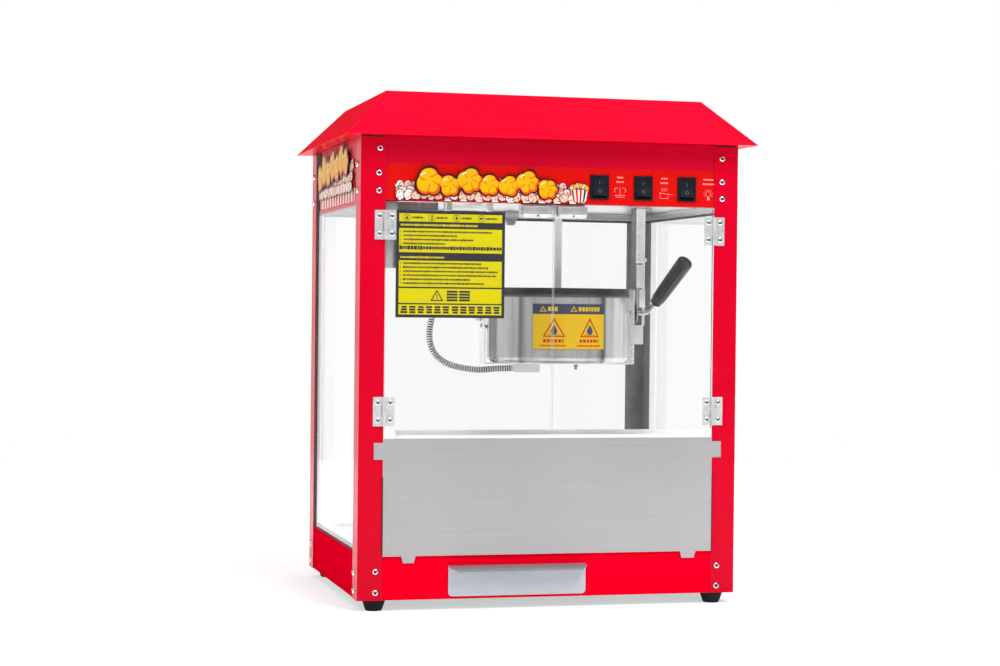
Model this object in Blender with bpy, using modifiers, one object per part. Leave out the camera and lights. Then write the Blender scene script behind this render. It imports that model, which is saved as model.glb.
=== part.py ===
"""Countertop popcorn machine with a hipped roof, two glass doors and a tilting kettle.

Frame: metres, +Z up, the front faces -Y. The origin is on the ground under the middle of the roof.
"""
import math

import bmesh
import bpy
from mathutils import Matrix, Vector

# ---------------------------------------------------------------- driving dimensions
BODY_WIDTH = 0.517
BODY_DEPTH = 0.387
FOOT_HEIGHT = 0.0145
EAVE_HEIGHT = 0.618
ROOF_RISE = 0.062
ROOF_OVERHANG = 0.021
ROOF_SLOPE_RUN = 0.061

GAP = 0.0003
SHEET = 0.0012
THIN_SHEET = 0.001
GLASS = 0.004
POST_LEG = 0.033

BASE_SIDE_TOP = 0.0774
BASE_FRONT_TOP = 0.0714
HEADER_FRONT_BOTTOM = 0.5343
HEADER_SIDE_BOTTOM = 0.529
CEILING_BOTTOM = 0.541

DOOR_BOTTOM = 0.237
DOOR_MEETING_X = 0.0015
DOOR_MEETING_GAP = 0.002
HINGE_CENTRES = {"lower": 0.2600, "upper": 0.5021}
HINGE_HEIGHT = 0.038
HINGE_LEAF = 0.0142
HINGE_PIN_RADIUS = 0.0014
HINGE_KNUCKLE_RADIUS = 0.0028

KETTLE_X = 0.062
KETTLE_RADIUS = 0.100
KETTLE_BOTTOM = 0.320
KETTLE_RIM = 0.414
LID_TOP = 0.4245
LID_RADIUS = 0.1015
BRIDGE_BOTTOM = 0.4235
PIVOT_HEIGHT = 0.391
PIVOT_PIN_RADIUS = 0.0044
ARM_OFFSET = 0.108
HANGER_OFFSET = 0.1135
STIRRER_TOP = 0.5258

DRAWER_X = -0.0435
DRAWER_PLATE_WIDTH = 0.187
DRAWER_PLATE_BOTTOM = 0.0178
DRAWER_PLATE_TOP = 0.0583
TRAY_WIDTH = 0.172
TRAY_DEPTH = 0.252
GUIDE_FLOOR = 0.0187

SIFTER_X = (-0.126, 0.039)
SIFTER_Y = (-0.148, 0.048)
SIFTER_RIM = 0.008
GLAND_X = -0.190
GLAND_Z = 0.042
GLAND_RADIUS = 0.008

SWITCH_HEIGHT = 0.5578
SWITCH_CENTRES = (0.0637, 0.1248, 0.1859)
SWITCH_BODY_WIDTH = 0.0218
SWITCH_BODY_HEIGHT = 0.0288
ROCKER_AXIS_DEPTH = 0.004
ROCKER_THROW = math.radians(16)

PAN_BOTTOM = 0.350
PAN_RADIUS = 0.0915
STIRRER_RADIUS = 0.0054
HANDLE_RADIUS = 0.0035
HANDLE_BEND = Vector((0.197, 0.0, PIVOT_HEIGHT))
HANDLE_TIP = Vector((0.2265, -0.076, 0.4640))

LAMP_X = -0.092
LAMP_Y = -0.100
LAMP_HOLDER_DEPTH = 0.014
CONDUIT_RADIUS = 0.0048
CONDUIT_ROUTE = (
    (-0.100, 0.000, 0.5406), (-0.101, 0.000, 0.515), (-0.106, 0.000, 0.470), (-0.113, 0.000, 0.425),
    (-0.119, 0.000, 0.388), (-0.1235, 0.000, 0.360), (-0.119, 0.000, 0.3365), (-0.103, 0.000, 0.3205),
    (-0.081, 0.000, 0.3128), (-0.054, 0.000, 0.3092), (-0.028, 0.000, 0.3106), (-0.0043, 0.000, 0.3116))

# ---------------------------------------------------------------- worked-out dimensions
HALF_WIDTH = BODY_WIDTH / 2
HALF_DEPTH = BODY_DEPTH / 2
POST_TOP = EAVE_HEIGHT - GAP
SKIN_X = HALF_WIDTH - SHEET - GAP
SKIN_Y = HALF_DEPTH - SHEET - GAP
INNER_X = SKIN_X - THIN_SHEET
INNER_Y = SKIN_Y - THIN_SHEET
POST_EDGE = HALF_WIDTH - POST_LEG
DOOR_FRONT = -HALF_DEPTH
DOOR_BACK = DOOR_FRONT + GLASS
DECK_TOP = BASE_FRONT_TOP - 0.0002
HINGE_AXIS_Y = DOOR_FRONT - HINGE_KNUCKLE_RADIUS

parts = bpy.data.collections.new("popcorn_maker")
cutters = bpy.data.collections.new("cutters")


# ---------------------------------------------------------------- scene and materials
def clear_scene():
    for item in list(bpy.data.objects):
        bpy.data.objects.remove(item, do_unlink=True)
    bpy.context.scene.collection.children.link(parts)
    bpy.context.scene.collection.children.link(cutters)


def make_material(name, colour, roughness, metallic, alpha=1.0):
    material = bpy.data.materials.new(name)
    material.use_nodes = True
    shader = material.node_tree.nodes["Principled BSDF"]
    shader.inputs["Base Color"].default_value = (*colour, 1.0)
    shader.inputs["Roughness"].default_value = roughness
    shader.inputs["Metallic"].default_value = metallic
    shader.inputs["Alpha"].default_value = alpha
    material.diffuse_color = (*colour, alpha)
    return material


RED = make_material("red_paint", (0.80, 0.004, 0.022), 0.32, 0.0)
BRUSHED = make_material("brushed_steel", (0.55, 0.55, 0.56), 0.42, 1.0)
STEEL = make_material("polished_steel", (0.70, 0.70, 0.71), 0.18, 1.0)
DARK_STEEL = make_material("dark_steel", (0.10, 0.10, 0.11), 0.40, 0.8)
ZINC = make_material("zinc_plate", (0.72, 0.73, 0.75), 0.30, 1.0)
BLUE_GREY = make_material("coated_drawer", (0.48, 0.54, 0.60), 0.45, 0.2)
CLEAR = make_material("clear_glass", (0.92, 0.96, 0.96), 0.03, 0.0, 0.25)
BLACK = make_material("black_plastic", (0.02, 0.02, 0.022), 0.45, 0.0)
RUBBER = make_material("black_rubber", (0.015, 0.015, 0.016), 0.75, 0.0)
GRIP = make_material("grip_plastic", (0.09, 0.09, 0.09), 0.5, 0.0)
WHITE = make_material("white_plastic", (0.80, 0.80, 0.78), 0.45, 0.0)
LAMP = make_material("lamp_glass", (0.95, 0.93, 0.85), 0.1, 0.0, 0.8)


# ---------------------------------------------------------------- shape helpers
def finish(item, material, smooth=False):
    """Give an object its material and, on a round piece, smooth shading."""
    item.data.materials.clear()
    item.data.materials.append(material)
    if smooth:
        item.data.shade_smooth()
        item.data.set_sharp_from_angle(angle=math.radians(35))
    return item


def add_mesh(name, mesh, material, location=(0, 0, 0), smooth=False):
    item = bpy.data.objects.new(name, mesh)
    item.location = location
    parts.objects.link(item)
    return finish(item, material, smooth)


def box_mesh(size, centre=(0, 0, 0)):
    form = bmesh.new()
    place = Matrix.Translation(centre) @ Matrix.Diagonal((*size, 1.0))
    bmesh.ops.create_cube(form, size=1.0, matrix=place)
    mesh = bpy.data.meshes.new("box")
    form.to_mesh(mesh)
    form.free()
    return mesh


def box(name, low, high, material, bevel=0.0):
    """A box between two corners, with its origin at its middle."""
    low = Vector(low)
    high = Vector(high)
    item = add_mesh(name, box_mesh(high - low), material, (low + high) / 2)
    if bevel:
        rounding = item.modifiers.new("rounded_edges", "BEVEL")
        rounding.width = bevel
        rounding.segments = 2
    return item


def cylinder_mesh(radius, length, centre=(0, 0, 0), axis="Z", sides=24):
    """A capped cylinder along one of the three axes."""
    form = bmesh.new()
    turns = {"X": Matrix.Rotation(math.pi / 2, 4, "Y"), "Y": Matrix.Rotation(math.pi / 2, 4, "X")}
    place = Matrix.Translation(centre) @ turns.get(axis, Matrix.Identity(4))
    bmesh.ops.create_cone(
        form, cap_ends=True, segments=sides, radius1=radius, radius2=radius, depth=length, matrix=place)
    mesh = bpy.data.meshes.new("cylinder")
    form.to_mesh(mesh)
    form.free()
    return mesh


def evaluated_mesh(item):
    """The mesh that an object's modifiers, or a curve's settings, make."""
    bpy.context.view_layer.update()
    graph = bpy.context.evaluated_depsgraph_get()
    mesh = bpy.data.meshes.new_from_object(item.evaluated_get(graph), depsgraph=graph)
    form = bmesh.new()
    form.from_mesh(mesh)
    bmesh.ops.remove_doubles(form, verts=form.verts, dist=0.00001)
    form.to_mesh(mesh)
    form.free()
    return mesh


def combine(base_mesh, joined=(), cut=()):
    """Union a mesh with others and then cut others from it, in one local frame."""
    base = bpy.data.objects.new("combined", base_mesh)
    cutters.objects.link(base)
    helpers = []
    for operation, meshes in (("UNION", joined), ("DIFFERENCE", cut)):
        for mesh in meshes:
            helper = bpy.data.objects.new("operand", mesh)
            helper.hide_render = True
            helper.display_type = "WIRE"
            cutters.objects.link(helper)
            helpers.append(helper)
            boolean = base.modifiers.new(operation.lower(), "BOOLEAN")
            boolean.operation = operation
            boolean.solver = "EXACT"
            boolean.object = helper
    result = evaluated_mesh(base)
    for helper in helpers:
        bpy.data.objects.remove(helper, do_unlink=True)
    bpy.data.objects.remove(base, do_unlink=True)
    return result


FACING = {
    "Z": (0, 0, 0),
    "Y": (math.pi / 2, 0, 0),
    "X": (math.pi / 2, 0, math.pi / 2),
}


def outline_curve(name, outlines, length):
    """A flat outline with holes, drawn in local XY and given a thickness along local Z."""
    curve = bpy.data.curves.new(name, "CURVE")
    curve.dimensions = "2D"
    curve.fill_mode = "BOTH"
    curve.extrude = length / 2
    for outline in outlines:
        spline = curve.splines.new("POLY")
        spline.points.add(len(outline) - 1)
        for point, (x, y) in zip(spline.points, outline):
            point.co = (x, y, 0, 1)
        spline.use_cyclic_u = True
    return curve


def extrusion(name, outlines, length, material, location=(0, 0, 0), facing="Z"):
    """An outline extruded along Z, Y or X and centred on its location."""
    item = bpy.data.objects.new(name, outline_curve(name, outlines, length))
    item.location = location
    item.rotation_euler = FACING[facing]
    parts.objects.link(item)
    return finish(item, material)


def extruded_mesh(outlines, length, location=(0, 0, 0), facing="Z"):
    """The same extrusion as a welded mesh, ready for a boolean."""
    item = bpy.data.objects.new("outline", outline_curve("outline", outlines, length))
    item.location = location
    item.rotation_euler = FACING[facing]
    cutters.objects.link(item)
    mesh = evaluated_mesh(item)
    mesh.transform(item.matrix_world)
    bpy.data.objects.remove(item, do_unlink=True)
    return mesh


def turned(name, profile, material, location=(0, 0, 0), steps=32, closed=False):
    """A profile of (radius, height) points turned about local Z, outer side first, downwards."""
    mesh = bpy.data.meshes.new(name)
    count = len(profile)
    edges = [(i, i + 1) for i in range(count - 1)]
    if closed:
        edges.append((count - 1, 0))
    mesh.from_pydata([(radius, 0, height) for radius, height in profile], edges, [])
    item = bpy.data.objects.new(name, mesh)
    item.location = location
    parts.objects.link(item)
    screw = item.modifiers.new("turn", "SCREW")
    screw.steps = steps
    screw.render_steps = steps
    screw.use_merge_vertices = True
    screw.merge_threshold = 0.00001
    screw.use_smooth_shade = True
    return finish(item, material)


def tube(name, points, radius, material, resolution=2, origin=(0, 0, 0)):
    """A round wire or hose along world points, with its origin where it is asked for."""
    curve = bpy.data.curves.new(name, "CURVE")
    curve.dimensions = "3D"
    curve.bevel_depth = radius
    curve.bevel_resolution = resolution
    curve.use_fill_caps = True
    spline = curve.splines.new("POLY")
    spline.points.add(len(points) - 1)
    for point, place in zip(spline.points, points):
        point.co = (*(Vector(place) - Vector(origin)), 1)
    item = bpy.data.objects.new(name, curve)
    item.location = origin
    parts.objects.link(item)
    return finish(item, material)


def folded_sheet(name, outline, fold_edges, fold_by, material, location):
    """A flat plate in XZ, with some of its edges pulled out into a lip, thickened towards -Y.

    Each step of the lip is (how far its two ends draw in, dy, dz).
    """
    form = bmesh.new()
    corners = [form.verts.new((x, 0, z)) for x, z in outline]
    form.faces.new(corners)
    form.normal_update()
    if form.faces[:][0].normal.y > 0:
        bmesh.ops.reverse_faces(form, faces=form.faces)
    edges = [form.edges.get((corners[i], corners[j])) for i, j in fold_edges]
    for step in fold_by:
        pulled = bmesh.ops.extrude_edge_only(form, edges=edges)["geom"]
        moved = [part for part in pulled if isinstance(part, bmesh.types.BMVert)]
        middle = sum(vert.co.x for vert in moved) / len(moved)
        draw_in, out, up = step
        for vert in moved:
            side = 1 if vert.co.x > middle else -1
            vert.co += Vector((-side * draw_in, out, up))
        edges = [part for part in pulled if isinstance(part, bmesh.types.BMEdge)]
    bmesh.ops.recalc_face_normals(form, faces=form.faces)
    front = max(form.faces, key=lambda face: face.calc_area())
    if front.normal.y > 0:
        bmesh.ops.reverse_faces(form, faces=form.faces)
    mesh = bpy.data.meshes.new(name)
    form.to_mesh(mesh)
    form.free()
    item = add_mesh(name, mesh, material, location)
    solidify = item.modifiers.new("sheet", "SOLIDIFY")
    solidify.thickness = THIN_SHEET
    solidify.offset = 1.0
    solidify.use_even_offset = True
    return item


def rectangle(x0, x1, y0, y1):
    return [(x0, y0), (x1, y0), (x1, y1), (x0, y1)]


def circle(x, y, radius, sides=12):
    turns = [2 * math.pi * i / sides for i in range(sides)]
    return [(x + radius * math.cos(a), y + radius * math.sin(a)) for a in turns]


def arc(x, y, radius, start, end, steps):
    """Points on an arc, angles in degrees."""
    turns = [math.radians(start + (end - start) * i / steps) for i in range(steps + 1)]
    return [(x + radius * math.cos(a), y + radius * math.sin(a)) for a in turns]


def smooth_route(points, per_span):
    """Points along a Catmull-Rom curve through a route's own points."""
    ends = [2 * Vector(points[0]) - Vector(points[1]), 2 * Vector(points[-1]) - Vector(points[-2])]
    knots = [ends[0]] + [Vector(p) for p in points] + [ends[1]]
    route = []
    for i in range(1, len(knots) - 2):
        before, start, end, after = knots[i - 1:i + 3]
        for step in range(per_span):
            t = step / per_span
            pull = (end - before) * t + (2 * before - 5 * start + 4 * end - after) * t ** 2
            pull += (3 * start - before - 3 * end + after) * t ** 3
            route.append(start + pull / 2)
    route.append(Vector(points[-1]))
    return route


# ---------------------------------------------------------------- base
def base_pan():
    """Folded steel tray under the cabinet, with the drawer opening and the cord gland's hole."""
    height = BASE_SIDE_TOP - FOOT_HEIGHT
    middle = FOOT_HEIGHT + height / 2
    outer = box_mesh((2 * SKIN_X, 2 * SKIN_Y, height), (0, 0, middle))
    hollow = box_mesh((2 * INNER_X, 2 * INNER_Y, height), (0, 0, middle + SHEET))
    cut_depth = 0.02
    notch_height = BASE_SIDE_TOP - BASE_FRONT_TOP + 0.01
    notches = [
        box_mesh((2 * INNER_X, cut_depth / 2, notch_height), (0, y, BASE_FRONT_TOP + notch_height / 2))
        for y in (-SKIN_Y, SKIN_Y)]
    opening_high = 0.0545
    drawer_opening = box_mesh(
        (TRAY_WIDTH + 0.006, cut_depth, opening_high - GUIDE_FLOOR),
        (DRAWER_X, -SKIN_Y, (GUIDE_FLOOR + opening_high) / 2))
    gland_hole = cylinder_mesh(GLAND_RADIUS + GAP, cut_depth, (GLAND_X, SKIN_Y, GLAND_Z), "Y", 16)
    mesh = combine(outer, cut=(hollow, *notches, drawer_opening, gland_hole))
    add_mesh("base_pan", mesh, RED)


def power_gland():
    """Cord gland in the rear of the base: a flanged collar with a bore."""
    bore = 0.0038
    nose = 0.0065
    flange = GLAND_RADIUS + 0.004
    out = 0.014
    inside = -0.012
    profile = [
        (nose, out), (flange, 0.004), (flange, GAP), (GLAND_RADIUS, GAP),
        (GLAND_RADIUS, inside), (bore, inside), (bore, out)]
    item = turned("power_gland", profile, BLACK, (GLAND_X, SKIN_Y, GLAND_Z), steps=16, closed=True)
    item.rotation_euler = (-math.pi / 2, 0, 0)


def feet():
    """Four tapered rubber feet."""
    top = 0.015
    bottom = 0.0112
    chamfer = 0.001
    reach_x = HALF_WIDTH - 0.0255
    reach_y = HALF_DEPTH - 0.0175
    height = FOOT_HEIGHT - GAP
    profile = [
        (0, height), (top, height), (top, height - 2 * chamfer),
        (bottom, 1.5 * chamfer), (bottom - chamfer, 0), (0, 0)]
    for side, x in (("left", -reach_x), ("right", reach_x)):
        for end, y in (("front", -reach_y), ("rear", reach_y)):
            turned(f"{end}_{side}_foot", profile, RUBBER, (x, y, 0), steps=20)


def floor_deck():
    """Cabinet floor, with an opening under the sifter screen."""
    reach_x = INNER_X - GAP
    reach_y = INNER_Y - GAP
    plate = rectangle(-reach_x, reach_x, -reach_y, reach_y)
    rim = SIFTER_RIM
    opening = rectangle(SIFTER_X[0] + rim, SIFTER_X[1] - rim, SIFTER_Y[0] + rim, SIFTER_Y[1] - rim)
    extrusion("floor_deck", (plate, opening), THIN_SHEET, BRUSHED, (0, 0, DECK_TOP - THIN_SHEET / 2))


def sifter_screen():
    """Perforated screen that lets unpopped kernels fall into the drawer."""
    columns = 6
    rows = 7
    margin = 0.020
    hole = 0.0045
    first_x, last_x = SIFTER_X[0] + margin, SIFTER_X[1] - margin
    first_y, last_y = SIFTER_Y[0] + margin, SIFTER_Y[1] - margin
    outlines = [rectangle(*SIFTER_X, *SIFTER_Y)]
    for column in range(columns):
        for row in range(rows):
            x = first_x + (last_x - first_x) * column / (columns - 1)
            y = first_y + (last_y - first_y) * row / (rows - 1)
            outlines.append(circle(x, y, hole, 6))
    height = DECK_TOP + GAP + THIN_SHEET / 2
    extrusion("sifter_screen", outlines, THIN_SHEET, BRUSHED, (0, 0, height))


# ---------------------------------------------------------------- frame
def posts():
    """Four corner angles that the headers, the base and the glass sit behind."""
    leg = POST_LEG
    corner = [(0, 0), (leg, 0), (leg, SHEET), (SHEET, SHEET), (SHEET, leg), (0, leg)]
    height = POST_TOP - FOOT_HEIGHT
    middle = FOOT_HEIGHT + height / 2
    for side, x_sign in (("left", -1), ("right", 1)):
        for end, y_sign in (("front", -1), ("rear", 1)):
            outline = [(-x_sign * x, -y_sign * y) for x, y in corner]
            place = (x_sign * HALF_WIDTH, y_sign * HALF_DEPTH, middle)
            extrusion(f"{end}_{side}_post", (outline,), height, RED, place)


def front_header():
    """Switch panel above the doors, with a return flange along its lower edge."""
    top = POST_TOP
    reach = INNER_X - GAP
    half_x = SWITCH_BODY_WIDTH / 2 + GAP
    half_z = SWITCH_BODY_HEIGHT / 2 + GAP
    holes = [
        rectangle(x - half_x, x + half_x, SWITCH_HEIGHT - half_z, SWITCH_HEIGHT + half_z)
        for x in SWITCH_CENTRES]
    outlines = [rectangle(-reach, reach, HEADER_FRONT_BOTTOM, top)] + holes
    panel = extruded_mesh(outlines, THIN_SHEET, (0, -SKIN_Y + THIN_SHEET / 2, 0), "Y")
    flange_depth = 0.020
    flange = box_mesh(
        (2 * reach, flange_depth, THIN_SHEET),
        (0, -SKIN_Y + flange_depth / 2, HEADER_FRONT_BOTTOM + THIN_SHEET / 2))
    add_mesh("front_header", combine(panel, joined=(flange,)), RED)


def header_band():
    """Left, rear and right headers, folded from one strip."""
    reach_x = SKIN_X
    reach_y = SKIN_Y
    front = -SKIN_Y
    outline = [
        (-reach_x, front), (-reach_x, reach_y), (reach_x, reach_y), (reach_x, front),
        (INNER_X, front), (INNER_X, INNER_Y), (-INNER_X, INNER_Y), (-INNER_X, front)]
    height = POST_TOP - HEADER_SIDE_BOTTOM
    extrusion("header_band", (outline,), height, RED, (0, 0, HEADER_SIDE_BOTTOM + height / 2))


def ceiling_plate():
    """Steel ceiling over the kettle, with holes for the drive shaft and the conduit."""
    reach_x = INNER_X - GAP
    reach_y = INNER_Y - GAP
    plate = rectangle(-reach_x, reach_x, -reach_y, reach_y)
    shaft_hole = circle(KETTLE_X, 0, 0.0075)
    conduit_hole = circle(CONDUIT_ROUTE[0][0], CONDUIT_ROUTE[0][1], 0.0065)
    middle = CEILING_BOTTOM + SHEET / 2
    extrusion("ceiling_plate", (plate, shaft_hole, conduit_hole), SHEET, BRUSHED, (0, 0, middle))


def roof():
    """Hipped roof with a flat top and an inward flange under its eaves."""
    half_x = HALF_WIDTH + ROOF_OVERHANG
    half_y = HALF_DEPTH + ROOF_OVERHANG
    flange = ROOF_OVERHANG + 0.006
    form = bmesh.new()
    size = Matrix.Diagonal((2 * half_x, 2 * half_y, ROOF_RISE, 1))
    bmesh.ops.create_cube(form, size=1.0, matrix=Matrix.Translation((0, 0, ROOF_RISE / 2)) @ size)
    for vert in form.verts:
        if vert.co.z > ROOF_RISE / 2:
            vert.co.x -= math.copysign(ROOF_SLOPE_RUN, vert.co.x)
            vert.co.y -= math.copysign(ROOF_SLOPE_RUN - 0.001, vert.co.y)
    underside = [face for face in form.faces if face.normal.z < -0.9]
    bmesh.ops.inset_region(form, faces=underside, thickness=flange, use_even_offset=True)
    bmesh.ops.delete(form, geom=underside, context="FACES")
    mesh = bpy.data.meshes.new("roof")
    form.to_mesh(mesh)
    form.free()
    item = add_mesh("roof", mesh, RED, (0, 0, EAVE_HEIGHT))
    solidify = item.modifiers.new("sheet", "SOLIDIFY")
    solidify.thickness = THIN_SHEET
    solidify.offset = -1.0
    solidify.use_even_offset = True


def fixed_glass():
    """Side and rear panes, held behind the posts."""
    side_bottom = BASE_SIDE_TOP + GAP
    side_top = HEADER_SIDE_BOTTOM - GAP
    for side, sign in (("left", -1), ("right", 1)):
        low_x, high_x = sorted((sign * SKIN_X, sign * (SKIN_X - GLASS)))
        box(f"{side}_glass", (low_x, -SKIN_Y, side_bottom), (high_x, SKIN_Y, side_top), CLEAR)
    reach = SKIN_X - GLASS - GAP
    rear_bottom = BASE_FRONT_TOP + GAP
    box("rear_glass", (-reach, SKIN_Y - GLASS, rear_bottom), (reach, SKIN_Y, side_top), CLEAR)


# ---------------------------------------------------------------- doors
def hinge_meshes():
    """The two leaves of a butt hinge about a vertical pin; the frame leaf points to -X."""
    third = HINGE_HEIGHT / 3
    leaf_y = HINGE_KNUCKLE_RADIUS - GAP - THIN_SHEET / 2
    web_y = leaf_y - 0.0002
    web_width = 0.004
    reach = HINGE_LEAF
    near = 0.0027
    knuckle_radius = HINGE_KNUCKLE_RADIUS - 0.0004
    knuckle_length = third - GAP
    knuckle_offset = third + GAP / 2
    frame_plate = box_mesh((reach - near, THIN_SHEET, HINGE_HEIGHT), (-(reach + near) / 2, leaf_y, 0))
    pin = cylinder_mesh(HINGE_PIN_RADIUS, HINGE_HEIGHT - 0.001, sides=12)
    knuckles = [
        cylinder_mesh(knuckle_radius, knuckle_length, (0, 0, sign * knuckle_offset), sides=12)
        for sign in (-1, 1)]
    webs = [
        box_mesh((web_width, THIN_SHEET, knuckle_length), (-web_width / 2, web_y, sign * knuckle_offset))
        for sign in (-1, 1)]
    frame_leaf = combine(frame_plate, joined=(*webs, *knuckles, pin))
    door_plate = box_mesh((reach - near, THIN_SHEET, HINGE_HEIGHT), ((reach + near) / 2, leaf_y, 0))
    web = box_mesh((web_width, THIN_SHEET, knuckle_length), (web_width / 2, web_y, 0))
    knuckle = cylinder_mesh(knuckle_radius, knuckle_length, sides=12)
    bore = cylinder_mesh(HINGE_PIN_RADIUS + GAP, HINGE_HEIGHT, sides=12)
    door_leaf = combine(door_plate, joined=(web, knuckle), cut=(bore,))
    return frame_leaf, door_leaf


def hinges():
    frame_leaf, door_leaf = hinge_meshes()
    for side, sign in (("left", -1), ("right", 1)):
        for level, height in HINGE_CENTRES.items():
            place = (sign * POST_EDGE, HINGE_AXIS_Y, height)
            for kind, mesh in (("frame", frame_leaf), ("door", door_leaf)):
                item = add_mesh(f"{side}_{level}_hinge_{kind}_leaf", mesh, ZINC, place)
                if sign > 0:
                    item.rotation_euler = (0, math.pi, 0)


def doors():
    """Two clear doors that meet near the middle; each one's origin is on its hinge line."""
    clearance = 0.0012
    top = HEADER_FRONT_BOTTOM - 0.0028
    height = top - DOOR_BOTTOM
    for side, sign in (("left", -1), ("right", 1)):
        hinge_edge = sign * (POST_EDGE - clearance)
        meeting_edge = DOOR_MEETING_X + sign * DOOR_MEETING_GAP / 2
        width = abs(hinge_edge - meeting_edge)
        centre_x = (hinge_edge + meeting_edge) / 2 - sign * POST_EDGE
        centre_y = (DOOR_FRONT + DOOR_BACK) / 2 - HINGE_AXIS_Y
        mesh = box_mesh((width, GLASS, height), (centre_x, centre_y, DOOR_BOTTOM + height / 2))
        add_mesh(f"{side}_door_glass", mesh, CLEAR, (sign * POST_EDGE, HINGE_AXIS_Y, 0))


def door_catches():
    """A magnetic catch under the header and a steel strike plate on each door."""
    catch_top = HEADER_FRONT_BOTTOM - GAP
    catch_bottom = 0.5165
    catch_front = DOOR_BACK + 0.0018
    catch_depth = 0.0142
    catch_reach = 0.044
    centre = 0.002
    box("door_catch", (centre - catch_reach, catch_front, catch_bottom),
        (centre + catch_reach, catch_front + catch_depth, catch_top), WHITE, 0.0012)
    strike_width = 0.042
    strike_bottom = 0.5185
    strike_top = HEADER_FRONT_BOTTOM - 0.0034
    corner = 0.004
    half = strike_width / 2
    for side, middle in (("left", -0.0215), ("right", 0.0265)):
        outline = arc(half - corner, strike_bottom + corner, corner, -90, 0, 3)
        outline += [(half, strike_top), (-half, strike_top)]
        outline += arc(-half + corner, strike_bottom + corner, corner, 180, 270, 3)
        place = (middle, DOOR_BACK + GAP + THIN_SHEET / 2, 0)
        extrusion(f"{side}_strike_plate", (outline,), THIN_SHEET, ZINC, place, "Y")


# ---------------------------------------------------------------- front plate and drawer
def front_baffle():
    """Brushed plate below the doors: side ears, two bottom tabs and a lip bent inwards."""
    half = POST_EDGE - GAP
    ear = POST_EDGE + 0.0125
    top = 0.225
    bottom = BASE_FRONT_TOP + GAP
    ear_top = 0.2193
    ear_bottom = 0.1977
    tab_bottom = 0.0627
    lip_left = -0.208
    lip_right = 0.204
    outline = [(-half, bottom)]
    for low_x, high_x in ((-0.2005, -0.1815), (0.1815, 0.2035)):
        taper = 0.0025
        outline += [
            (low_x, bottom), (low_x + taper, tab_bottom), (high_x - taper, tab_bottom), (high_x, bottom)]
    outline += [(half, bottom), (half, ear_bottom), (ear, ear_bottom), (ear, ear_top), (half, ear_top)]
    outline += [(half, top), (lip_right, top), (lip_left, top), (-half, top)]
    outline += [(-half, ear_top), (-ear, ear_top), (-ear, ear_bottom), (-half, ear_bottom)]
    lip_start = outline.index((lip_right, top))
    lip_edge = [(lip_start, lip_start + 1)]
    lip_steps = [(0.0005, 0.004, 0.0035), (0.001, 0.013, 0.0055)]
    place = (0, DOOR_FRONT - 0.0004, 0)
    folded_sheet("front_baffle", outline, lip_edge, lip_steps, BRUSHED, place)


def drawer_front():
    """Drawer face with rounded lower corners and a drooping pull lip."""
    half = DRAWER_PLATE_WIDTH / 2
    corner = 0.005
    outline = arc(-half + corner, DRAWER_PLATE_BOTTOM + corner, corner, 180, 270, 3)
    outline += arc(half - corner, DRAWER_PLATE_BOTTOM + corner, corner, -90, 0, 3)
    outline += [(half, DRAWER_PLATE_TOP), (-half, DRAWER_PLATE_TOP)]
    last = len(outline) - 1
    lip_steps = [(0.0, -0.008, -0.0022), (0.0045, -0.0075, -0.0025), (0.0045, -0.0025, -0.0012)]
    place = (DRAWER_X, -SKIN_Y - GAP, 0)
    folded_sheet("drawer_front", outline, [(last - 1, last)], lip_steps, BLUE_GREY, place)


def drawer_tray():
    """Open tray that collects unpopped kernels."""
    bottom = GUIDE_FLOOR + GAP
    height = 0.032
    front = -SKIN_Y
    middle_y = front + TRAY_DEPTH / 2
    outer = box_mesh((TRAY_WIDTH, TRAY_DEPTH, height), (DRAWER_X, middle_y, bottom + height / 2))
    wall = 2 * THIN_SHEET
    hollow = box_mesh(
        (TRAY_WIDTH - wall, TRAY_DEPTH - wall, height),
        (DRAWER_X, middle_y, bottom + THIN_SHEET + height / 2))
    add_mesh("drawer_tray", combine(outer, cut=(hollow,)), BLUE_GREY)


def drawer_guide():
    """Channel in the base that the tray slides in."""
    inner = TRAY_WIDTH / 2 + 0.0006
    outer = inner + THIN_SHEET
    low = FOOT_HEIGHT + SHEET + GAP
    floor = GUIDE_FLOOR
    high = 0.048
    outline = [
        (-outer, low), (outer, low), (outer, high), (inner, high),
        (inner, floor), (-inner, floor), (-inner, high), (-outer, high)]
    front = -INNER_Y + GAP
    rear = -SKIN_Y + TRAY_DEPTH + 0.012
    place = (DRAWER_X, (front + rear) / 2, 0)
    extrusion("drawer_guide", (outline,), rear - front, ZINC, place, "Y")


# ---------------------------------------------------------------- switches
def switches():
    """Three rocker switches, each with its top side pressed in at rest."""
    flange_y = -SKIN_Y - GAP
    depth = 0.020
    wall = 0.0012
    lip = 0.0016
    rocker_width = 0.0187
    flange = box_mesh((0.026, lip, 0.0325), (0, -lip / 2, 0))
    body = box_mesh((SWITCH_BODY_WIDTH, depth, SWITCH_BODY_HEIGHT), (0, depth / 2 - lip / 4, 0))
    well_depth = 0.022
    well = box_mesh(
        (SWITCH_BODY_WIDTH - 2 * wall, well_depth, SWITCH_BODY_HEIGHT - 2 * wall), (0, 0.004, 0))
    housing = combine(flange, joined=(body,), cut=(well,))
    for index, x in enumerate(SWITCH_CENTRES, start=1):
        add_mesh(f"switch_{index}_housing", housing, BLACK, (x, flange_y, SWITCH_HEIGHT))
        place = (x, flange_y + ROCKER_AXIS_DEPTH, SWITCH_HEIGHT)
        extrusion(f"switch_{index}_rocker", (rocker_outline(),), rocker_width, BLACK, place, "X")


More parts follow.
